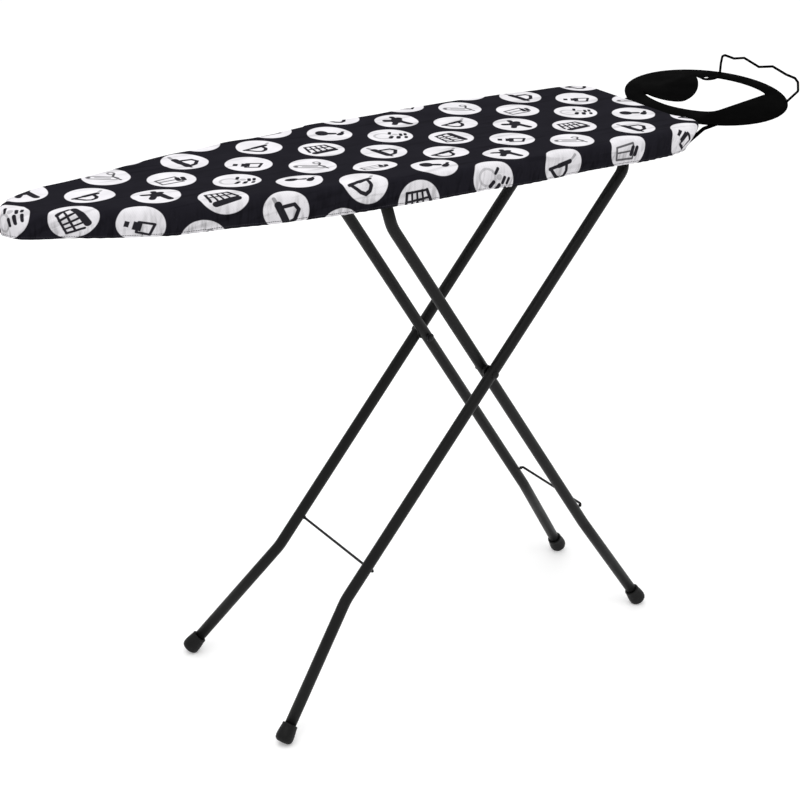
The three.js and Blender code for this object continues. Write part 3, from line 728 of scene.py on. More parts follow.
    def ink(self) -> bpy.types.Node:
        """Lays every picture into the spots that hold it.

        Returns:
            A node that is one where there is full ink.
        """
        laid: Optional[bpy.types.Node] = None
        index = self.picture_number()
        upright = self.local
        for motif in Motif:
            self.local = upright
            if motif is Motif.TURNED_BASKET:
                self.local = add_node(self.tree, "ShaderNodeVectorRotate",
                                      {"Vector": upright, "Angle": -math.pi / 2},
                                      rotation_type="Z_AXIS")
            here = add_node(self.tree, "ShaderNodeMath",
                            {0: index, 1: float(motif.value), 2: 0.5}, operation="COMPARE")
            for strength, near in self.shapes(motif):
                joined = near[0]
                for shape in near[1:]:
                    joined = add_node(self.tree, "ShaderNodeMath", {0: joined, 1: shape},
                                      operation="MINIMUM")
                edge = add_node(self.tree, "ShaderNodeMapRange",
                                {"Value": joined, "From Min": self.spread - 0.4,
                                 "From Max": self.spread + 0.4,
                                 "To Min": strength, "To Max": 0.0})
                drawn = add_node(self.tree, "ShaderNodeMath", {0: edge, 1: here},
                                 operation="MULTIPLY")
                laid = drawn if laid is None else add_node(
                    self.tree, "ShaderNodeMath", {0: laid, 1: drawn}, operation="MAXIMUM")
        self.local = upright
        assert laid is not None
        return laid

    def picture_number(self) -> bpy.types.Node:
        """Looks the spot's number up in the repeat table.

        Returns:
            A node with the picture's number.
        """
        total = len(self.repeat)
        share = add_node(self.tree, "ShaderNodeMath",
                         {0: self.code, 1: 1 / total, 2: 0.5 / total},
                         operation="MULTIPLY_ADD")
        ramp = add_node(self.tree, "ShaderNodeValToRGB", {"Fac": share})
        steps = ramp.color_ramp
        steps.interpolation = "CONSTANT"
        for i, motif in enumerate(self.repeat):
            level = motif.value / 16
            if i == 0:
                step = steps.elements[0]
            elif i == 1:
                step = steps.elements[1]
                step.position = 1 / total
            else:
                step = steps.elements.new(i / total)
            step.color = (level, level, level, 1.0)
        return add_node(self.tree, "ShaderNodeMath", {0: ramp, 1: 16.0},
                        operation="MULTIPLY")


# polyester powder on tube: a satin black with a soft highlight along each leg
LEG_PAINT = PowderCoat("black_powder_coat", "#101010", 0.42, reflection=0.16)
# heat-proof coating on the iron rest: a flat black that hardly shines
REST_COAT = PowderCoat("heatproof_black_coat", "#010101", 0.60, reflection=0.005)
# stoved paint on pressed steel: black with a dull gloss on the folds
SHEET_PAINT = PowderCoat("pressed_steel_black_paint", "#1a1a1b", 0.45, reflection=0.3)
# primer-grey paint on the pierced panel: pale, so the holes stand out
PANEL_PAINT = PowderCoat("panel_grey_paint", "#b9bcbd", 0.45)
# bright zinc plating: small cool highlights on rivets, pin and spring
ZINC = ZincPlate("zinc_plated_steel", "#c4c7ca", 0.34, 1.0)
# black-passivated zinc: dark metal with a narrow glint on bar and washers
BLACK_ZINC = ZincPlate("black_zinc_steel", "#2a2a2d", 0.38, 1.0)
# moulded polypropylene: deep black, duller than the tube it closes
FERRULE = MouldedPlastic("moulded_ferrule", "#090909", 0.55, reflection=0.2)
# moulded polypropylene: black with a fine grain where the hand squeezes
GRIP = MouldedPlastic("moulded_grip", "#121212", 0.50, reflection=0.3)
# needled polyester felt: off-white and matted, seen through the holes
FELT = Felt("needled_felt", "#ddd9cf", 0.95, reflection=0.1)
# braided rubber elastic: a white cord with a fine braid in the hem
ELASTIC = Felt("braided_elastic", "#ececea", 0.85, reflection=0.1, fibre_mm=1.2)
# plain-woven printed cotton: matt charcoal with crisp white spots
COTTON = PrintedCotton("printed_cotton", "#1f1e24", 0.86, reflection=0.0)


# ---- modelling ------------------------------------------------------------------------------


def start_fresh() -> None:
    """Leaves nothing selected, so that an operator acts only on the new piece."""
    bpy.ops.object.select_all(action="DESELECT")


def close_edit(piece: bpy.types.Object, name: str, smooth: float = 35.0) -> bpy.types.Object:
    """Ends edit mode with clean, outward faces and soft shading.

    Args:
        piece: the object being edited.
        name: its final name.
        smooth: the angle in degrees under which edges are shaded smooth.

    Returns:
        The piece.
    """
    bpy.ops.mesh.select_all(action="SELECT")
    bpy.ops.mesh.remove_doubles(threshold=1e-6)
    bpy.ops.mesh.normals_make_consistent(inside=False)
    bpy.ops.object.mode_set(mode="OBJECT")
    bpy.ops.object.shade_smooth_by_angle(angle=math.radians(smooth))
    piece.name = piece.data.name = name
    return piece


def swept_tube(
    name: str,
    corners: Sequence[Vector],
    radius: float,
    bends: Union[float, Sequence[float]],
    wall: float = 0.0,
    sides: int = 28,
) -> bpy.types.Object:
    """Draws a round tube straight between corners, bent at each one.

    Args:
        name: the piece's name.
        corners: the corners of its centreline.
        radius: its outside radius.
        bends: the bend radius, or one for each inner corner.
        wall: its wall, or zero for solid wire with closed ends.
        sides: how many faces go round it.

    Returns:
        The tube.
    """
    radii = [bends] * (len(corners) - 2) if isinstance(bends, float) else list(bends)
    heading = (corners[1] - corners[0]).normalized()
    start_fresh()
    bpy.ops.mesh.primitive_circle_add(
        vertices=sides, radius=radius, location=corners[0],
        rotation=heading.to_track_quat("Z", "Y").to_euler(),
        fill_type="NOTHING" if wall else "NGON")
    piece = bpy.context.object
    bpy.ops.object.transform_apply(location=True, rotation=True, scale=True)
    bpy.ops.object.mode_set(mode="EDIT")
    bpy.ops.mesh.select_all(action="SELECT")
    place = corners[0]
    for before, corner, after, bend in zip(corners, corners[1:], corners[2:], radii):
        arriving = (corner - before).normalized()
        leaving = (after - corner).normalized()
        turn = arriving.angle(leaving)
        setback = bend * math.tan(turn / 2)
        begin = corner - arriving * setback
        bpy.ops.mesh.extrude_region_move(
            TRANSFORM_OT_translate={"value": begin - place})
        axis = arriving.cross(leaving).normalized()
        centre = begin + axis.cross(arriving) * bend
        steps = max(3, round(math.degrees(turn) / 5))
        bpy.ops.mesh.spin(steps=steps, angle=-turn, center=centre, axis=axis)
        place = corner + leaving * setback
    bpy.ops.mesh.extrude_region_move(
        TRANSFORM_OT_translate={"value": corners[-1] - place})
    close_edit(piece, name)
    if wall:
        shell = piece.modifiers.new("wall", "SOLIDIFY")
        shell.thickness = wall
        shell.offset = -1.0
        bpy.ops.object.modifier_apply(modifier=shell.name)
    return piece


def turned_part(
    name: str,
    profile: Sequence[Plan],
    foot: Vector,
    along: Vector,
    sides: int = 40,
) -> bpy.types.Object:
    """Turns a round part by extruding and scaling a disc along its axis.

    Args:
        name: the piece's name.
        profile: radius and height of each step, from the foot up.
        foot: where the axis starts.
        along: the axis.
        sides: how many faces go round it.

    Returns:
        The part.
    """
    start_fresh()
    bpy.ops.mesh.primitive_circle_add(
        vertices=sides, radius=profile[0][0], fill_type="NGON",
        location=(0.0, 0.0, profile[0][1]))
    piece = bpy.context.object
    bpy.ops.object.transform_apply(location=True, rotation=True, scale=True)
    bpy.ops.object.mode_set(mode="EDIT")
    bpy.ops.mesh.select_all(action="SELECT")
    for (last_r, last_h), (r, h) in zip(profile, profile[1:]):
        bpy.ops.mesh.extrude_region_move(
            TRANSFORM_OT_translate={"value": (0.0, 0.0, h - last_h)})
        bpy.ops.transform.resize(value=(r / last_r, r / last_r, 1.0))
    close_edit(piece, name)
    piece.matrix_world = (Matrix.Translation(foot)
                          @ along.to_track_quat("Z", "Y").to_matrix().to_4x4())
    bpy.ops.object.transform_apply(location=True, rotation=True, scale=True)
    return piece


def flat_sheet(
    name: str,
    outlines: Sequence[Sequence[tuple[Plan, Plan, Plan]]],
    thickness: float,
    edge: float,
    smooth_steps: int = 12,
) -> bpy.types.Object:
    """Cuts a flat sheet from closed Bezier outlines; inner outlines become holes.

    Args:
        name: the piece's name.
        outlines: for each outline, the knots as left handle, point and right handle.
        thickness: the sheet's thickness.
        edge: the rounding of its edges.
        smooth_steps: how finely each curve is divided.

    Returns:
        The sheet, lying about the plane z = 0.
    """
    curve = bpy.data.curves.new(name, "CURVE")
    curve.dimensions = "2D"
    curve.fill_mode = "BOTH"
    curve.resolution_u = smooth_steps
    curve.extrude = thickness / 2 - edge
    curve.bevel_depth = edge
    curve.bevel_resolution = 2
    curve.offset = -edge
    for knots in outlines:
        spline = curve.splines.new("BEZIER")
        spline.bezier_points.add(len(knots) - 1)
        spline.use_cyclic_u = True
        for target, (left, point, right) in zip(spline.bezier_points, knots):
            target.handle_left_type = target.handle_right_type = "FREE"
            target.co = (*point, 0.0)
            target.handle_left = (*left, 0.0)
            target.handle_right = (*right, 0.0)
    piece = bpy.data.objects.new(name, curve)
    bpy.context.scene.collection.objects.link(piece)
    start_fresh()
    piece.select_set(True)
    bpy.context.view_layer.objects.active = piece
    bpy.ops.object.convert(target="MESH")
    piece = bpy.context.object
    bpy.ops.object.mode_set(mode="EDIT")
    close_edit(piece, name)
    return piece


def ring_knots(x: float, y: float, radius_x: float, radius_y: float) -> list:
    """Four Bezier knots of an ellipse.

    Args:
        x: its centre along X.
        y: its centre along Y.
        radius_x: its half length along X.
        radius_y: its half length along Y.

    Returns:
        The knots, each as left handle, point and right handle.
    """
    pull = 0.5523
    knots = []
    for cos, sin in ((1, 0), (0, 1), (-1, 0), (0, -1)):
        px, py = x + radius_x * cos, y + radius_y * sin
        dx, dy = -radius_x * sin * pull, radius_y * cos * pull
        knots.append(((px - dx, py - dy), (px, py), (px + dx, py + dy)))
    return knots


def knots_of(segments: Sequence[Sequence[Plan]]) -> list:
    """Turns cubic segments that close on themselves into Bezier knots.

    Args:
        segments: each segment's start, two handles and end.

    Returns:
        For each knot its left handle, its place and its right handle.
    """
    knots = []
    for before, here in zip([segments[-1], *segments[:-1]], segments):
        knots.append((before[2], here[0], here[1]))
    return knots


def straight(start: Plan, end: Plan) -> tuple[Plan, Plan, Plan, Plan]:
    """Writes a straight segment as a cubic one.

    Args:
        start: its start.
        end: its end.

    Returns:
        Its start, two handles and end.
    """
    (x0, y0), (x1, y1) = start, end
    third = ((x1 - x0) / 3, (y1 - y0) / 3)
    return (start, (x0 + third[0], y0 + third[1]), (x1 - third[0], y1 - third[1]), end)


def dress(
    piece: bpy.types.Object,
    finish: Finish,
    body: str,
    stands_for: Iterable[str] = (),
) -> bpy.types.Object:
    """Gives a finished piece its material and its place in the frame.

    Args:
        piece: the piece.
        finish: what it is finished with.
        body: the body that it rides on.
        stands_for: the frame's nodes that it replaces.

    Returns:
        The piece.
    """
    piece.data.materials.clear()
    piece.data.materials.append(finish.material())
    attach(piece, body)
    nodes = list(stands_for)
    if nodes:
        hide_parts(*nodes)
    LOG.info("%s: %d faces, %s", piece.name, len(piece.data.polygons), finish.name)
    return piece


# ---- board ----------------------------------------------------------------------------------


@dataclass(frozen=True)
class BoardOutline:
    """The board's edge as half of a curve, in millimetres from the nose tip."""

    nose: float = -658.5
    half: tuple[tuple[Plan, Plan, Plan, Plan], ...] = (
        ((0, 0), (0, 31), (30, 45), (84, 59)),
        ((84, 59), (284, 107), (550, 152), (800, 152)),
        ((800, 152), (880, 152), (960, 147), (1018, 139)),
        ((1018, 139), (1052, 134), (1074, 118), (1074, 84)),
        ((1074, 84), (1074, 56), (1074, 28), (1074, 0)),
    )

    def loop(self, count: int) -> tuple[np.ndarray, np.ndarray]:
        """Spaces points evenly round the edge, anticlockwise from the nose.

        Args:
            count: how many points.

        Returns:
            The points and their outward normals, in metres.
        """
        side: list[Plan] = []
        for a, b, c, d in self.half:
            knots = interpolate_bezier(*[Vector((*p, 0.0)) for p in (a, b, c, d)], 120)
            side += [(p.x, p.y) for p in knots[:-1]]
        side.append((1074.0, 0.0))
        near = np.array([(x, -y) for x, y in side])
        far = np.array(side[::-1])[1:]
        dense = np.concatenate([near, far]) + (self.nose, 0.0)
        along = np.concatenate([[0], np.cumsum(np.linalg.norm(np.diff(dense, axis=0), axis=1))])
        stops = np.linspace(0, along[-1], count, endpoint=False)
        points = np.stack([np.interp(stops, along, dense[:, i]) for i in (0, 1)], axis=1) * MM
        tangent = np.roll(points, -1, axis=0) - np.roll(points, 1, axis=0)
        tangent /= np.linalg.norm(tangent, axis=1, keepdims=True)
        return points, np.stack([tangent[:, 1], -tangent[:, 0]], axis=1)

    def half_width(self, x: float) -> float:
        """Measures half the board's width.

        Args:
            x: where along the board, in metres.

        Returns:
            Half its width there, in metres.
        """
        points, _ = self.loop(600)
        near = points[points[:, 1] <= 0]
        order = np.argsort(near[:, 0])
        return float(np.interp(x, near[order, 0], -near[order, 1]))


@dataclass(frozen=True)
class EdgeFit:
    """How loosely the cover sits at each point of the board's edge, in metres."""

    near: np.ndarray  # 1 on the near long side, 0 on the other sides
    nose_half: np.ndarray  # 1 on the half towards the nose
    stand: np.ndarray  # how far the padded edge stands out
    crown: np.ndarray  # how high the far edge rises
    taken: np.ndarray  # cloth folded away just inside the edge
    sag: np.ndarray  # how much lower the hem hangs


@dataclass
class Cover:
    """The printed cotton cover: a flat cut drawn over the board's edge by elastic in its hem."""

    outline: BoardOutline = field(default_factory=BoardOutline)
    top: float = 0.857
    points_round: int = 960
    rings_on_top: int = 26
    puff: float = 11.0 * MM  # the padded near edge stands out past the steel by this much
    corner_puff: float = 14.0 * MM  # and its corner at the tail by this much more
    far_crown: float = 2.4 * MM  # how high the far edge rises
    slack_at: tuple[float, ...] = (0.05, 0.13, 0.30, 0.42, 0.60, 0.72, 0.90)
    slack: tuple[float, ...] = (0, 11, 11, 20, 20, 6, 2)  # cloth folded away near the edge
    sag_at: tuple[float, ...] = (0.0, 0.06, 0.12, 0.19, 0.40, 0.50, 0.62, 0.80, 0.95)
    sag: tuple[float, ...] = (-5.0, -4.0, 1.0, 7.0, 7.0, 5.5, 1.5, 1.0, 5.0)  # it hangs lower
    section: tuple[Plan, ...] = (  # inset from the edge and height below the top, from the hem
        (21.0, 33.4), (19.4, 34.2), (16.0, 34.5), (11.0, 35.4), (7.0, 37.2), (4.2, 38.8),
        (2.2, 39.8), (0.9, 39.2), (0.2, 37.0), (0.0, 33.6), (0.0, 29.6), (0.0, 25.6),
        (0.0, 21.6), (0.0, 17.8), (0.0, 14.0), (0.1, 10.6), (0.6, 7.4), (1.8, 4.4),
        (3.8, 1.9), (6.4, 0.5), (9.5, 0.0),
    )

    def build(self) -> list[bpy.types.Object]:
        """Makes the cover and the elastic in its hem.

        Returns:
            Both pieces.
        """
        points, normals = self.outline.loop(self.points_round)
        rings, flat, downs = self.rings(points, normals)
        cover = self.skin(rings, flat, downs)
        shell = cover.modifiers.new("cloth", "SOLIDIFY")
        shell.thickness = 0.8 * MM
        shell.offset = -1.0
        bpy.context.view_layer.objects.active = cover
        bpy.ops.object.modifier_apply(modifier=shell.name)
        dress(cover, COTTON, "board", ["fabric_cover"])
        self.flat_area()
        elastic = self.elastic(rings[0])
        return [cover, elastic]

    def flat_area(self) -> float:
        """Measures the flat cut: the board's outline with the skirt and hem all round.

        Returns:
            Its area in square metres.
        """
        points, normals = self.outline.loop(self.points_round)
        cut = points + normals * 0.058
        x, y = cut[:, 0], cut[:, 1]
        return float(abs(np.dot(x, np.roll(y, -1)) - np.dot(y, np.roll(x, -1))) / 2)

    def rings(
        self, points: np.ndarray, normals: np.ndarray
    ) -> tuple[list[np.ndarray], list[np.ndarray], list[float]]:
        """Lays out the cover from its hem, up the skirt and over the top.

        Args:
            points: the board's edge.
            normals: the edge's outward normals.

        Returns:
            The rings of points in space, the same points on the flat cut, and how far
            each ring lies down the skirt in millimetres.
        """
        fit = self.fit(points, normals)
        runs = self.runs()
        skirt, skirt_flat = self.skirt(points, normals, fit, runs)
        top, top_flat = self.top_rings(points, normals, fit)
        downs = runs + [-5.0 * k for k in range(1, self.rings_on_top + 1)]
        return skirt + top, skirt_flat + top_flat, downs

    def runs(self) -> list[float]:
        """Measures the section from the board's top to each of its points.

        Returns:
            The distances down the cloth in millimetres, from the hem.
        """
        runs = [0.0]
        for (inset, drop), (next_inset, next_drop) in zip(
                self.section[::-1], self.section[-2::-1]):
            runs.append(runs[-1] + math.hypot(next_inset - inset, next_drop - drop))
        return runs[::-1]

    def fit(self, points: np.ndarray, normals: np.ndarray) -> EdgeFit:
        """Works out how loosely the cover sits round the edge.

        Args:
            points: the board's edge.
            normals: the edge's outward normals.

        Returns:
            The amounts at each point.
        """
        share = self.share(points)
        near = np.clip(-1.7 * normals[:, 1] - 0.15, 0.0, 1.0) * np.clip(share / 0.10, 0.2, 1.0)
        nose_half = np.clip((share - 0.05) / 0.08, 0.0, 1.0)
        nose_half *= 1 - np.clip((share - 0.30) / 0.16, 0.0, 1.0)
        corner = np.clip(-2 * normals[:, 0] * normals[:, 1], 0.0, 1.0) * (share > 0.5)
        far = np.clip(1.7 * normals[:, 1] - 0.15, 0.0, 1.0) * (share > 0.02)
        far = far * np.interp(share, (0.0, 0.06, 0.45, 0.6), (0.6, 1.0, 1.0, 0.5))
        scallop = np.array([noise.noise(Vector((x * 14, 3.3, 0.7))) for x in points[:, 0]])
        crown = self.far_crown * far * (1 + 0.9 * scallop)
        return EdgeFit(
            near=near,
            nose_half=nose_half,
            stand=self.puff * near + self.corner_puff * corner + 2.0 * crown,
            crown=crown,
            taken=near * np.interp(share, self.slack_at, self.slack) * MM,
            sag=np.interp(share, self.sag_at, self.sag) * MM,
        )

    @staticmethod
    def share(points: np.ndarray) -> np.ndarray:
        """How far each point lies from the nose, as a share of the board's length."""
        return (points[:, 0] - points[:, 0].min()) / np.ptp(points[:, 0])

    def skirt(
        self, points: np.ndarray, normals: np.ndarray, fit: EdgeFit, runs: list[float]
    ) -> tuple[list[np.ndarray], list[np.ndarray]]:
        """Lays out the hem and the skirt, ring by ring from the hem up.

        Args:
            points: the board's edge.
            normals: the edge's outward normals.
            fit: how loosely the cover sits.
            runs: how far down the cloth each ring lies, in millimetres.

        Returns:
            The rings in space, and the same points on the flat cut.
        """
        rings, flat = [], []
        gather = self.gathers(points)
        last_inset = self.section[-1][0] * MM
        along = np.column_stack([-normals[:, 1], normals[:, 0]])
        for (inset, drop), run in zip(self.section, runs):
            low = min(drop / 40.0, 1.0)
            push, lift = self.ripple(points, gather, low, inset)
            swell = fit.stand * (1 - 0.82 * low ** 1.5)
            place = points + normals * (push + swell - inset * MM)[:, None]
            hanging = np.clip((low - 0.3) / 0.65, 0.0, 1.0) * (1.0 if inset < 6 else 0.0)
            rise = fit.crown * (1 - low) - fit.sag * hanging
            rings.append(np.column_stack([place, self.top - drop * MM + lift + rise]))
            spread = run * MM * (1 + 0.30 * fit.near * fit.nose_half) - last_inset
            reach = spread + fit.stand + fit.taken
            drag = 0.22 * fit.near * run * MM
            flat.append(points + normals * reach[:, None] - along * drag[:, None])
        return rings, flat

    def top_rings(
        self, points: np.ndarray, normals: np.ndarray, fit: EdgeFit
    ) -> tuple[list[np.ndarray], list[np.ndarray]]:
        """Lays out the level top, ring by ring from the edge in to the middle line.

        Args:
            points: the board's edge.
            normals: the edge's outward normals.
            fit: how loosely the cover sits.

        Returns:
            The rings in space, and the same points on the flat cut.
        """
        rings, flat = [], []
        last_inset = self.section[-1][0] * MM
        puffed = points - normals * last_inset + normals * fit.stand[:, None]
        spine = np.column_stack([points[:, 0].min() + 0.055 + self.share(points) * 0.929,
                                 np.zeros(len(points))])
        for k in range(1, self.rings_on_top + 1):
            inward = (k / self.rings_on_top) ** 0.9
            place = puffed + (spine - puffed) * inward
            height = self.crease(place, inward) + fit.crown * max(0.0, 1 - 3 * inward)
            rings.append(np.column_stack([place, self.top + height]))
            depth = np.linalg.norm(place - puffed, axis=1)
            used = fit.taken * np.clip((0.058 - depth) / 0.020, 0.0, 1.0)
            flat.append(place + normals * used[:, None])
        return rings, flat

    @staticmethod
    def gathers(points: np.ndarray) -> np.ndarray:
        """How much cloth the elastic gathers at each point: most at the nose and corners.

        Args:
            points: the board's edge.

        Returns:
            A share from 0 to 1 for each point.
        """
        ahead = np.roll(points, -12, axis=0) - points
        behind = points - np.roll(points, 12, axis=0)
        cross = ahead[:, 0] * behind[:, 1] - ahead[:, 1] * behind[:, 0]
        bend = np.abs(cross) / (np.linalg.norm(ahead, axis=1) * np.linalg.norm(behind, axis=1))
        for _ in range(16):
            bend = (np.roll(bend, 1) + bend + np.roll(bend, -1)) / 3
        return np.clip(bend / 0.45, 0.0, 1.0)

    def ripple(
        self, points: np.ndarray, gather: np.ndarray, low: float, inset: float
    ) -> tuple[np.ndarray, np.ndarray]:
        """Waves of the skirt, small at the board's top edge and largest at the hem.

        Args:
            points: the board's edge.
            gather: how much cloth is gathered at each point.
            low: 0 at the top of the skirt and 1 at its hem.
            inset: how far this ring lies inside the edge, in millimetres.

        Returns:
            How far each point is pushed out and lifted, in metres.
        """
        step = np.linalg.norm(np.roll(points, -1, axis=0) - points, axis=1).mean()
        arc = np.arange(len(points)) * step
        total = step * len(points)
        push, lift = np.zeros(len(points)), np.zeros(len(points))
        hang = low ** 1.3
        for i, (x, y) in enumerate(points):
            soft = noise.noise(Vector((x * 9, y * 9, 3.1)))
            wave = noise.noise(Vector((x * 17, y * 17, 8.7)))
            phase = math.tau * round(total / 0.0145) * arc[i] / total + 7 * soft
            pleat = math.sin(phase) * (0.5 + 0.5 * gather[i]) * (0.7 + 0.9 * wave)
            fine = noise.noise(Vector((x * 95, y * 95, 2.4)))
            push[i] = (1.3 * soft * (0.45 + 0.55 * hang) + 1.3 * wave * hang
                       + 1.5 * pleat * hang * low + 0.8 * fine * hang)
            lift[i] = (1.5 * noise.noise(Vector((x * 12, y * 12, 5.5))) * hang
                       + 0.5 * pleat * hang * gather[i])
        inner = min(inset / 14.0, 1.0) if low > 0.8 else 0.0
        return push * MM * (1 - 0.5 * inner), lift * MM * (1 - 0.9 * inner)

    @staticmethod
    def crease(place: np.ndarray, inward: float) -> np.ndarray:
        """Shallow folds of the top, lengthwise and mostly near the edge.

        Args:
            place: the points in plan.
            inward: 0 at the edge and 1 at the middle.

        Returns:
            The height of each point over the level top, in metres.
        """
        near_edge = math.sin(math.pi * min(inward * 1.25, 1.0)) * (1 - 0.6 * inward)
        height = np.zeros(len(place))
        for i, (x, y) in enumerate(place):
            long = noise.noise(Vector((x * 5, y * 34, 1.7)))
            swell = noise.noise(Vector((x * 11, y * 11, 6.2)))
            fold = 1 - 5 * abs(noise.noise(Vector((x * 2.6, y * 24 + x * 2, 4.4))))
            height[i] = (0.9 * near_edge * long + 0.5 * swell * min(inward * 4, 1.0)
                         + 0.9 * near_edge * max(fold, 0.0))
        return height * MM

    def skin(
        self, rings: list[np.ndarray], flat: list[np.ndarray], downs: list[float]
    ) -> bpy.types.Object:
        """Joins the rings into one sheet, with the flat cut and the edge as its UV maps.

        Args:
            rings: the points in space, ring by ring.
            flat: the same points on the flat cut.
            downs: how far each ring lies down the skirt, in millimetres.

        Returns:
            The sheet.
        """
        count = len(rings[0])
        coords = np.concatenate(rings)
        faces = []
        for level in range(len(rings) - 1):
            for i in range(count):
                j = (i + 1) % count
                faces.append((level * count + i, level * count + j,
                              (level + 1) * count + j, (level + 1) * count + i))
        mesh = bpy.data.meshes.new("cover")
        mesh.from_pydata(coords.tolist(), [], faces)
        cut = mesh.uv_layers.new(name="cut")
        spread = np.concatenate(flat)
        for loop in mesh.loops:
            x, y = spread[loop.vertex_index]
            cut.data[loop.index].uv = ((x + 0.75) / 1.3, (y + 0.25) / 1.3)
        edge = mesh.uv_layers.new(name="edge")
        level_of = [(down + 200.0) / 300.0 for down in downs]
        for face in mesh.polygons:
            level, i = divmod(face.index, count)
            places = ((i, level), (i + 1, level), (i + 1, level + 1), (i, level + 1))
            for loop_index, (step, ring) in zip(face.loop_indices, places):
                edge.data[loop_index].uv = (step / count, level_of[ring])
        piece = bpy.data.objects.new("cover", mesh)
        bpy.context.scene.collection.objects.link(piece)
        start_fresh()
        piece.select_set(True)
        bpy.context.view_layer.objects.active = piece
        bpy.ops.object.mode_set(mode="EDIT")
        bpy.ops.mesh.select_all(action="SELECT")
        bpy.ops.mesh.remove_doubles(threshold=2e-5)
        bpy.ops.mesh.normals_make_consistent(inside=False)
        bpy.ops.object.mode_set(mode="OBJECT")
        bpy.ops.object.shade_smooth()
        return piece

    def elastic(self, hem: np.ndarray) -> bpy.types.Object:
        """Makes the round elastic that the hem's inner edge is rolled over.

        Args:
            hem: the hem's inner edge.

        Returns:
            The elastic.
        """
        sides, radius = 10, 1.5 * MM
        ahead = np.roll(hem, -1, axis=0) - np.roll(hem, 1, axis=0)
        ahead[:, 2] = 0
        ahead /= np.linalg.norm(ahead, axis=1, keepdims=True)
        outward = np.column_stack([ahead[:, 1], -ahead[:, 0], np.zeros(len(hem))])
        middle = hem + outward * 1.2 * MM + (0, 0, 2.1 * MM)
        coords, faces = [], []
        for i, centre in enumerate(middle):
            for k in range(sides):
                turn = math.tau * k / sides
                coords.append(centre + radius * (outward[i] * math.cos(turn)
                                                 + np.array((0, 0, math.sin(turn)))))
                j, m = (i + 1) % len(middle), (k + 1) % sides
                faces.append((i * sides + k, j * sides + k, j * sides + m, i * sides + m))
        mesh = bpy.data.meshes.new("elastic")
        mesh.from_pydata([tuple(c) for c in coords], [], faces)
        piece = bpy.data.objects.new("elastic", mesh)
        bpy.context.scene.collection.objects.link(piece)
        start_fresh()
        piece.select_set(True)
        bpy.context.view_layer.objects.active = piece
        bpy.ops.object.mode_set(mode="EDIT")
        close_edit(piece, "elastic", 60.0)
        return dress(piece, ELASTIC, "board", ["hem_elastic"])


@dataclass
class Board:
    """The steel top under the cover: the pierced panel, its edge and the felt on it."""

    outline: BoardOutline = field(default_factory=BoardOutline)
    hole_pitch: float = 21.0 * MM
    hole_radius: float = 5.0 * MM

    def build(self) -> list[bpy.types.Object]:
        """Makes the panel and the felt, and paints the rims.

        Returns:
            The new pieces.
        """
        for name in ("rim_nose", "rim_tail", "rim_left", "rim_right"):
            repaint(name, SHEET_PAINT)
        return [self.panel(), self.felt()]

    def ring(self, inset: float, count: int = 180) -> list:
        """Moves the board's edge inwards, as an outline of short straight segments.

        Args:
            inset: how far inwards, in metres.
            count: how many segments.

        Returns:
            The outline's Bezier knots.
        """
        points, normals = self.outline.loop(count)
        places = [tuple(p) for p in points - normals * inset]
        return knots_of([straight(a, b) for a, b in zip(places, [*places[1:], places[0]])])

    def panel(self) -> bpy.types.Object:
        """Pierces the panel in staggered rows, clear of its rivets.

        Returns:
            The panel.
        """
        low, high = (Vector(v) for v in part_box("board_panel"))
        rivets = [(Vector(a) + Vector(b)) / 2 for a, b in
                  (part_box(n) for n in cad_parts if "rivet" in n and "pivot" not in n)]
        outlines = [self.ring(2.0 * MM)]
        row_gap = self.hole_pitch * 0.866
        rows = int(0.16 / row_gap)
        for row in range(-rows, rows + 1):
            y = row * row_gap
            x = low.x + 0.02 + (self.hole_pitch / 2 if row % 2 else 0.0)
            while x < high.x - 0.02:
                room = self.outline.half_width(x) - 0.022
                ends = min(x - low.x, high.x - x) > 0.024
                clear = all(math.hypot(x - r.x, y - r.y) > 0.013 for r in rivets)
                if abs(y) < room and ends and clear:
                    outlines.append(ring_knots(x, y, self.hole_radius, self.hole_radius))
                x += self.hole_pitch
        piece = flat_sheet("pierced_panel", outlines, high.z - low.z, 0.2 * MM, 3)
        piece.data.transform(Matrix.Translation((0, 0, (low.z + high.z) / 2)))
        return dress(piece, PANEL_PAINT, "board", ["board_panel"])

    def felt(self) -> bpy.types.Object:
        """Cuts the felt with a soft rounded edge.

        Returns:
            The felt.
        """
        low, high = (Vector(v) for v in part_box("felt_pad"))
        piece = flat_sheet("felt_underlay", [self.ring(6.5 * MM)], high.z - low.z, 2.2 * MM, 3)
        piece.data.transform(Matrix.Translation((0, 0, (low.z + high.z) / 2)))
        dress(piece, FELT, "board", ["felt_pad"])
        return piece


def repaint(node: str, finish: Finish) -> None:
    """Gives a frame node the full finish in every material slot.

    Args:
        node: the frame node's name.
        finish: what it is finished with.
    """
    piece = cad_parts[node]
    for slot in piece.material_slots:
        slot.material = finish.material()
    LOG.info("%s: kept, %s", node, finish.name)


@dataclass
class HeightRail:
    """Rail, hinge straps, rest channel, comb lever and their fixings under the board."""

    painted: tuple[str, ...] = ("height_rail", "hinge_strap_left", "hinge_strap_right",
                                "rest_channel", "height_lever")
    plated: tuple[str, ...] = ("lever_pin", "lever_spring")

    def build(self) -> list[bpy.types.Object]:
        """Finishes the fittings under the board.

        Returns:
            No new pieces.
        """
        for name in self.painted:
            repaint(name, SHEET_PAINT)
        rivets = [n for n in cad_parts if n.startswith(("rail_r", "strap_r", "channel_r"))]
        for name in (*self.plated, *rivets):
            repaint(name, ZINC)
        repaint("lever_grip", GRIP)
        return []


# ---- leg frames -----------------------------------------------------------------------------


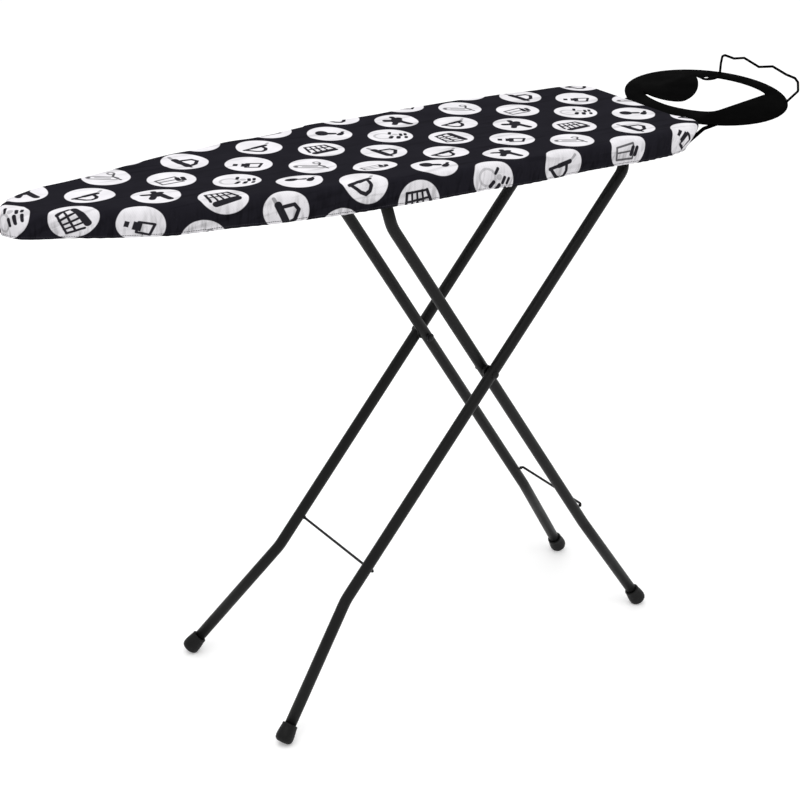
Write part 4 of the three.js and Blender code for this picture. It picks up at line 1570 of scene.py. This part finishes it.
@dataclass(frozen=True)
class Tubes:
    """Sizes that both leg frames share, in metres."""

    pivot: Point = (0.0678, 0.0, 0.5017)
    radius: float = 0.009
    wall: float = 0.0012
    bend: float = 0.070
    wire: float = 0.002
    ferrule: tuple[Plan, ...] = (
        (6.2, 0.05), (8.6, 0.5), (11.0, 1.7), (12.8, 3.6), (13.6, 5.6), (14.0, 8.6),
        (14.0, 11.0), (13.7, 15.0), (13.1, 19.5), (12.5, 23.6), (12.1, 26.0), (12.2, 26.6),
        (12.2, 28.6), (11.8, 29.4), (11.2, 29.9), (10.0, 30.0), (9.4, 29.6), (9.3, 28.0),
        (9.3, 11.0),
    )
    worn: float = 0.0009

    def ferrule_start(self, axis: Vector) -> float:
        """How far up its axis a leaning ferrule starts to stand on the floor.

        Args:
            axis: the leg's direction, upwards.

        Returns:
            The distance from the floor point, in metres.
        """
        lean = math.sqrt(1 - axis.z**2)
        steps = ((0.0, 0.0), (7.0, 0.7), (11.0, 2.4), (13.2, 5.4), (14.0, 10.0))
        lowest = min((h * axis.z - r * lean) * MM for r, h in steps)
        return (-lowest - self.worn) / axis.z

    def foot(self, name: str, floor: Vector, axis: Vector, body: str, node: str) -> Vector:
        """Moulds one ferrule and finds where its tube starts.

        Args:
            name: the ferrule's name.
            floor: where the leg's axis meets the floor.
            axis: the leg's direction, upwards.
            body: the body it rides on.
            node: the frame node that it replaces.

        Returns:
            The lower end of the tube.
        """
        start = floor + axis * self.ferrule_start(axis)
        profile = [(r * MM, h * MM) for r, h in self.ferrule]
        piece = turned_part(name, profile, start, axis, 48)
        bpy.ops.object.mode_set(mode="EDIT")
        bpy.ops.mesh.select_all(action="SELECT")
        bpy.ops.mesh.bisect(plane_co=(0, 0, 0.00002), plane_no=(0, 0, 1), clear_inner=True,
                            use_fill=True)
        close_edit(piece, name, 30.0)
        dress(piece, FERRULE, body, [node])
        return start + axis * 0.0113


@dataclass
class LegFrame:
    """One leg frame: what the outer and the inner frame have in common."""

    body: str
    foot_half: float
    bend_half: float
    bend_at: float
    along: Vector
    tubes: Tubes = field(default_factory=Tubes)

    def at(self, distance: float, y: float) -> Vector:
        """Finds a point up the frame's slope from the floor.

        Args:
            distance: how far up the slope.
            y: how far to the left of the middle.

        Returns:
            The point.
        """
        pivot = Vector(self.tubes.pivot)
        floor = pivot - self.along * (pivot.z / self.along.z)
        return floor + self.along * distance + Vector((0, y, 0))

    def lower_leg(self, side: Side) -> list[Vector]:
        """Makes the ferrule of one leg and lays out the splayed end of its tube.

        Args:
            side: which leg.

        Returns:
            The tube's first two corners.
        """
        floor = self.at(0.0, side.value * self.foot_half)
        bend = self.at(self.bend_at, side.value * self.bend_half)
        axis = (bend - floor).normalized()
        kind = self.body.split("_")[0]
        start = self.tubes.foot(f"{kind}_ferrule_{side.tag}", floor, axis, self.body,
                                f"{kind}_foot_{side.tag}")
        return [start, bend]

    def weld(self, name: str, at: Vector, towards: Vector) -> bpy.types.Object:
        """A small weld bead where a wire meets a tube.

        Args:
            name: its name.
            at: where the wire ends.
            towards: the direction of the tube from there.

        Returns:
            The bead.
        """
        profile = [(0.8, -0.9), (2.4, -0.6), (3.3, 0.3), (2.9, 1.2), (2.1, 2.2), (1.7, 3.2)]
        bead = turned_part(name, [(r * MM, h * MM) for r, h in profile], at, -towards, 16)
        return dress(bead, LEG_PAINT, self.body)


@dataclass
class OuterFrame(LegFrame):
    """The outer frame: an inverted U that hinges under the tail end of the board."""

    body: str = "outer_frame"
    foot_half: float = 0.156
    bend_half: float = 0.102
    bend_at: float = 0.2337
    along: Vector = field(default_factory=lambda: Vector(
        (math.cos(math.radians(50.76)), 0, math.sin(math.radians(50.76)))))
    hinge_z: float = 0.802
    stretcher_at: float = 0.293

    def build(self) -> list[bpy.types.Object]:
        """Makes the legs, ferrules, hinge tube and stretcher.

        Returns:
            The new pieces.
        """
        top = self.hinge_z / self.along.z
        pieces = []
        for side in Side:
            y = side.value * self.bend_half
            corners = [*self.lower_leg(side), self.at(top, y), self.at(top, side.value * 0.0517)]
            leg = swept_tube(f"outer_tube_{side.tag}", corners, self.tubes.radius,
                             (self.tubes.bend, 0.026), self.tubes.wall)
            pieces.append(dress(leg, LEG_PAINT, self.body,
                                [f"outer_leg_{side.tag}"]))
        middle = self.at(top, 0.0)
        profile = [(7.4, -55.4), (7.4, -51.6), (8.7, -51.5), (9.0, -51.0), (9.0, -45.0),
                   (8.7, -44.5), (8.7, -43.5), (9.0, -43.0), (9.0, 43.0), (8.7, 43.5),
                   (8.7, 44.5), (9.0, 45.0), (9.0, 51.0), (8.7, 51.5), (7.4, 51.6), (7.4, 55.4)]
        tube = turned_part("hinge_cross_tube", [(r * MM, h * MM) for r, h in profile], middle,
                           Vector((0, 1, 0)))
        pieces.append(dress(tube, LEG_PAINT, self.body, ["hinge_tube"]))
        low, high = (Vector(v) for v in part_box("outer_stretcher"))
        centre = (low + high) / 2
        reach = self.bend_half + 0.004
        wire = swept_tube("outer_cross_wire", [
            Vector((centre.x, -reach, centre.z)), Vector((centre.x, reach, centre.z))],
            self.tubes.wire, 0.01, sides=16)
        pieces.append(dress(wire, LEG_PAINT, self.body, ["outer_stretcher"]))
        inward = Vector((-self.along.z, 0, self.along.x))
        for side in Side:
            at = Vector((centre.x, side.value * self.bend_half, centre.z))
            pieces.append(self.weld(f"outer_weld_{side.tag}", at - inward * 0.0005, inward))
        return pieces


@dataclass
class InnerFrame(LegFrame):
    """The inner frame: cranked near the top, with the bar that slides in the height rail."""

    body: str = "inner_frame"
    foot_half: float = 0.1133
    bend_half: float = 0.0826
    bend_at: float = 0.2079
    along: Vector = field(default_factory=lambda: Vector(
        (-math.cos(math.radians(56.5)), 0, math.sin(math.radians(56.5)))))
    top_half: float = 0.075
    knee_z: float = 0.758
    bar: Point = (-0.1159, 0.0, 0.804)
    stretcher_at: float = 0.2414

    def build(self) -> list[bpy.types.Object]:
        """Makes the legs, ferrules, slide bar and stretcher.

        Returns:
            The new pieces.
        """
        knee_at = self.knee_z / self.along.z
        pieces = []
        for side in Side:
            y = side.value * self.top_half
            knee = self.at(knee_at, y)
            bar = Vector((self.bar[0], y, self.bar[2]))
            top = bar + (bar - knee).normalized() * 0.007
            leg = swept_tube(f"inner_tube_{side.tag}", [*self.lower_leg(side), knee, top],
                             self.tubes.radius, self.tubes.bend, self.tubes.wall)
            pieces.append(dress(leg, LEG_PAINT, self.body,
                                [f"inner_leg_{side.tag}"]))
        pieces.append(self.slide_bar())
        share = (self.stretcher_at - self.bend_at) / (knee_at - self.bend_at)
        half = self.bend_half + (self.top_half - self.bend_half) * share
        away = Vector((self.along.z, 0, -self.along.x))

        def beside(y: float, proud: float) -> Vector:
            """A point over the legs' upper side."""
            return self.at(self.stretcher_at, y) + away * proud

        wire = swept_tube("inner_cross_wire", [
            beside(half, 0.0095), beside(half, 0.015), beside(-half, 0.015),
            beside(-half, 0.0095)], self.tubes.wire, 0.004, sides=16)
        pieces.append(dress(wire, LEG_PAINT, self.body, ["inner_stretcher"]))
        for side in Side:
            at = beside(side.value * half, 0.0112)
            pieces.append(self.weld(f"inner_weld_{side.tag}", at, -away))
        return pieces

    def slide_bar(self) -> bpy.types.Object:
        """Makes the plated bar with its domed push-on caps.

        Returns:
            The bar.
        """
        face = self.top_half / MM + 9.3
        profile = [(2.0, -face - 3.8), (4.6, -face - 3.4), (6.2, -face - 2.4),
                   (6.9, -face - 1.2), (7.0, -face), (4.0, -face + 0.01), (4.0, face - 0.01),
                   (7.0, face), (6.9, face + 1.2), (6.2, face + 2.4), (4.6, face + 3.4),
                   (2.0, face + 3.8)]
        bar = turned_part("slide_bar_plated", [(r * MM, h * MM) for r, h in profile],
                          Vector(self.bar), Vector((0, 1, 0)), 32)
        return dress(bar, BLACK_ZINC, self.body,
                     ["slide_bar", "bar_cap_left", "bar_cap_right"])


@dataclass
class Crossing:
    """The two rivets that the frames turn on, with their spacers and washers."""

    pivot: Point = (0.0678, 0.0, 0.5017)

    def build(self) -> list[bpy.types.Object]:
        """Makes the rivets, spacers and washers of both sides.

        Returns:
            The new pieces.
        """
        pieces = []
        for side in Side:
            along = Vector((0, side.value, 0))
            head_low, head_high = (Vector(v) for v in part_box(f"pivot_rivet_{side.tag}"))
            near = min(abs(head_low.y), abs(head_high.y))
            far = max(abs(head_low.y), abs(head_high.y))
            start = Vector(self.pivot) + along * near
            reach = (far - near) / MM - 3.0
            profile = [(1.5, 0.0), (3.6, 0.3), (4.5, 1.0), (4.6, 1.8), (3.0, 1.81),
                       (3.0, reach), (5.8, reach + 0.01), (6.0, reach + 0.4),
                       (5.7, reach + 1.1), (4.9, reach + 1.8), (3.4, reach + 2.4),
                       (1.5, reach + 2.7)]
            rivet = turned_part(f"crossing_rivet_{side.tag}",
                                [(r * MM, h * MM) for r, h in profile], start, along, 36)
            pieces.append(dress(rivet, LEG_PAINT, "outer_frame",
                                [f"pivot_rivet_{side.tag}"]))
            pieces.append(self.ring(side, "spacer", 8.8, FERRULE, "outer_frame", "nylon"))
            pieces.append(self.ring(side, "washer", 6.8, BLACK_ZINC, "inner_frame", "zinc"))
        return pieces

    def ring(
        self, side: Side, kind: str, outer: float, finish: Finish, body: str, slot: str
    ) -> bpy.types.Object:
        """Makes one ring round the rivet.

        Args:
            side: which side.
            kind: spacer or washer.
            outer: its outer radius in millimetres.
            finish: what it is finished with.
            body: the body it rides on.
            slot: the record's material slot; not used.

        Returns:
            The ring.
        """
        node = f"pivot_{kind}_{side.tag}"
        low, high = (Vector(v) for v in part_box(node))
        start = Vector(self.pivot) + Vector((0, low.y, 0))
        thick = (high.y - low.y) / MM
        profile = [(3.4, thick), (3.4, 0.0), (outer - 0.5, 0.0), (outer, 0.4),
                   (outer, thick - 0.4), (outer - 0.5, thick), (3.4001, thick)]
        start_fresh()
        bpy.ops.mesh.primitive_circle_add(vertices=36, radius=profile[0][0] * MM,
                                          location=(0, 0, profile[0][1] * MM))
        piece = bpy.context.object
        bpy.ops.object.transform_apply(location=True, rotation=True, scale=True)
        bpy.ops.object.mode_set(mode="EDIT")
        bpy.ops.mesh.select_all(action="SELECT")
        for (last_r, last_h), (r, h) in zip(profile, profile[1:]):
            bpy.ops.mesh.extrude_region_move(
                TRANSFORM_OT_translate={"value": (0, 0, (h - last_h) * MM)})
            bpy.ops.transform.resize(value=(r / last_r, r / last_r, 1.0))
        bpy.ops.mesh.select_all(action="SELECT")
        bpy.ops.mesh.remove_doubles(threshold=2e-6)
        close_edit(piece, f"crossing_{kind}_{side.tag}")
        piece.matrix_world = (Matrix.Translation(start)
                              @ Vector((0, 1, 0)).to_track_quat("Z", "Y").to_matrix().to_4x4())
        bpy.ops.object.transform_apply(location=True, rotation=True, scale=True)
        return dress(piece, finish, body, [node])


# ---- iron rest ------------------------------------------------------------------------------


@dataclass
class IronRest:
    """The oval steel rest for the iron, its carrying rods and its wire guard."""

    middle: Point = (0.5538, 0.0, 0.828250 + 0.145 * (0.5538 - 0.4195))
    half_x: float = 105.7
    half_y: float = 157.8
    thickness: float = 0.002
    slope: float = 0.145
    rod: float = 0.003
    rod_y: float = 0.098
    rod_z: float = 0.812
    guard: float = 0.0020
    window: tuple[tuple[Plan, Plan, Plan, Plan], ...] = (
        ((-50, 95), (-66, 70), (-70, 20), (-64, -5)),
        ((-64, -5), (-60, -28), (-52, -48), (-44, -58)),
        ((-44, -58), (-40, -62.7), (-34, -65.7), (-26, -66)),
        ((-26, -66), (6, -67), (38, -68), (70, -69)),
        ((70, -69), (84, -40), (86, 10), (74, 50)),
        ((74, 50), (62, 48), (50, 56), (55, 70)),
        ((55, 70), (55.7, 75.3), (56.3, 80.7), (57, 86)),
        ((57, 86), (50, 68), (8, 16), (-30, 11)),
        ((-30, 11), (-46, 6), (-62, 44), (-50, 95)),
    )
    eyelet: Plan = (63.0, 66.0)
    eyelet_radius: float = 4.4

    def build(self) -> list[bpy.types.Object]:
        """Makes the plate, the rods and the guard.

        Returns:
            The new pieces.
        """
        return [self.plate(), *self.rods(), self.fence()]

    def on_plate(self, x: float, y: float, above: float = 0.0) -> Vector:
        """A point over the plate's middle plane, in metres."""
        return Vector((x, y, self.middle[2] + (x - self.middle[0]) * self.slope + above))

    def plate(self) -> bpy.types.Object:
        """Blanks the plate with its window and eyelet, and tilts it.

        Returns:
            The plate.
        """
        window = [tuple((x * MM, y * MM) for x, y in part) for part in self.window]
        outlines = [
            ring_knots(0.0, 0.0, self.half_x * MM, self.half_y * MM),
            knots_of(window),
            ring_knots(*[v * MM for v in (*self.eyelet, self.eyelet_radius,
                                          self.eyelet_radius)]),
        ]
        piece = flat_sheet("iron_rest_plate", outlines, self.thickness, 0.35 * MM, 14)
        tilt = Matrix.Rotation(-math.atan(self.slope), 4, "Y")
        piece.data.transform(Matrix.Translation(self.middle) @ tilt)
        return dress(piece, REST_COAT, "board", ["rest_plate"])

    def rods(self) -> list[bpy.types.Object]:
        """Bends the two rods that carry the plate.

        Returns:
            The rods.
        """
        low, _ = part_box("rest_rod_left")
        under = -self.thickness / 2 - self.rod - 0.001
        pieces = []
        for side in Side:
            y = side.value * self.rod_y
            corners = [Vector((low[0], y, self.rod_z)), Vector((0.434, y, self.rod_z)),
                       self.on_plate(0.466, y, under),
                       self.on_plate(self.middle[0] + 0.040, y, under)]
            rod = swept_tube(f"carrying_rod_{side.tag}", corners, self.rod, 0.010, sides=20)
            pieces.append(dress(rod, REST_COAT, "board",
                                [f"rest_rod_{side.tag}"]))
        return pieces

    def fence(self) -> bpy.types.Object:
        """Bends the wire guard that stands along the plate's outer edge.

        Returns:
            The guard.
        """
        x = self.middle[0] + 0.1026
        waves = ((76, 12), (74, 24), (68, 27), (46, 26), (22, 32), (-14, 24.5), (-45, 32),
                 (-77, 25.5), (-97, 24), (-104.5, 19), (-107, 5))
        corners = [self.on_plate(0.6475, 0.067)]
        corners += [Vector((x, y * MM, self.on_plate(x, 0.0).z + h * MM)) for y, h in waves]
        corners += [self.on_plate(0.6200, -0.1190)]
        wire = swept_tube("wire_guard_bent", corners, self.guard, 0.0030, sides=12)
        return dress(wire, REST_COAT, "board", ["wire_guard"])


# ---- studio ---------------------------------------------------------------------------------


@dataclass
class Studio:
    """A pale floor, soft light and the camera."""

    camera_at: Point = (-1.4509, -2.1295, 1.5942)
    right: Point = (0.83626348, -0.54808684, 0.01625468)
    up: Point = (0.21291813, 0.35190007, 0.91149998)
    forward: Point = (0.50530116, 0.75879323, -0.4109788)
    lens: float = 80.88

    def build(self) -> None:
        """Sets up the floor, the light and the camera."""
        scene = bpy.context.scene
        scene.view_settings.view_transform = "Standard"
        scene.view_settings.look = "None"
        self.floor()
        self.light("key", (-1.2, -0.9, 4.2), 3.0, 62.0)
        self.light("back", (0.8, 2.6, 3.4), 3.0, 20.0)
        world = bpy.data.worlds.new("studio")
        world.use_nodes = True
        world.node_tree.nodes["Background"].inputs["Color"].default_value = linear("#ffffff")
        world.node_tree.nodes["Background"].inputs["Strength"].default_value = 0.80
        scene.world = world
        data = bpy.data.cameras.new("camera")
        data.lens = self.lens
        data.sensor_width = 36.0
        data.clip_end = 60.0
        camera = bpy.data.objects.new("camera", data)
        turn = Matrix((self.right, self.up, [-v for v in self.forward])).transposed()
        camera.matrix_world = Matrix.Translation(self.camera_at) @ turn.to_4x4()
        scene.collection.objects.link(camera)
        scene.camera = camera

    def floor(self) -> None:
        """Lays the floor."""
        start_fresh()
        bpy.ops.mesh.primitive_plane_add(size=40.0, location=(0, 0, -0.0005))
        plane = bpy.context.object
        plane.name = "studio_floor"
        material = bpy.data.materials.new("studio_floor")
        material.use_nodes = True
        shader = material.node_tree.nodes["Principled BSDF"]
        shader.inputs["Base Color"].default_value = linear("#f4f4f4")
        shader.inputs["Roughness"].default_value = 0.9
        shader.inputs["Emission Color"].default_value = linear("#ffffff")
        shader.inputs["Emission Strength"].default_value = 0.25
        plane.data.materials.append(material)

    def light(self, name: str, at: Point, size: float, power: float) -> None:
        """Hangs one soft box that faces the board.

        Args:
            name: its name.
            at: where it hangs.
            size: its width and height.
            power: its power in watts.
        """
        data = bpy.data.lights.new(name, "AREA")
        data.shape = "SQUARE"
        data.size = size
        data.energy = power
        lamp = bpy.data.objects.new(name, data)
        heading = Vector((0, 0, 0.5)) - Vector(at)
        lamp.matrix_world = (Matrix.Translation(at)
                             @ heading.to_track_quat("-Z", "Y").to_matrix().to_4x4())
        bpy.context.scene.collection.objects.link(lamp)


def main() -> None:
    """Builds every sub-assembly on the frame."""
    logging.basicConfig(level=logging.INFO, format="%(name)s %(message)s")
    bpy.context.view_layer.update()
    Studio().build()
    made: list[bpy.types.Object] = []
    for assembly in (Board(), Cover(), HeightRail(), IronRest(), OuterFrame(), InnerFrame(),
                     Crossing()):
        pieces = assembly.build()
        made += pieces
        LOG.info("%s: %d pieces", type(assembly).__name__, len(pieces))
    LOG.info("all: %d pieces", len(made))


if __name__ == "__main__":
    main()
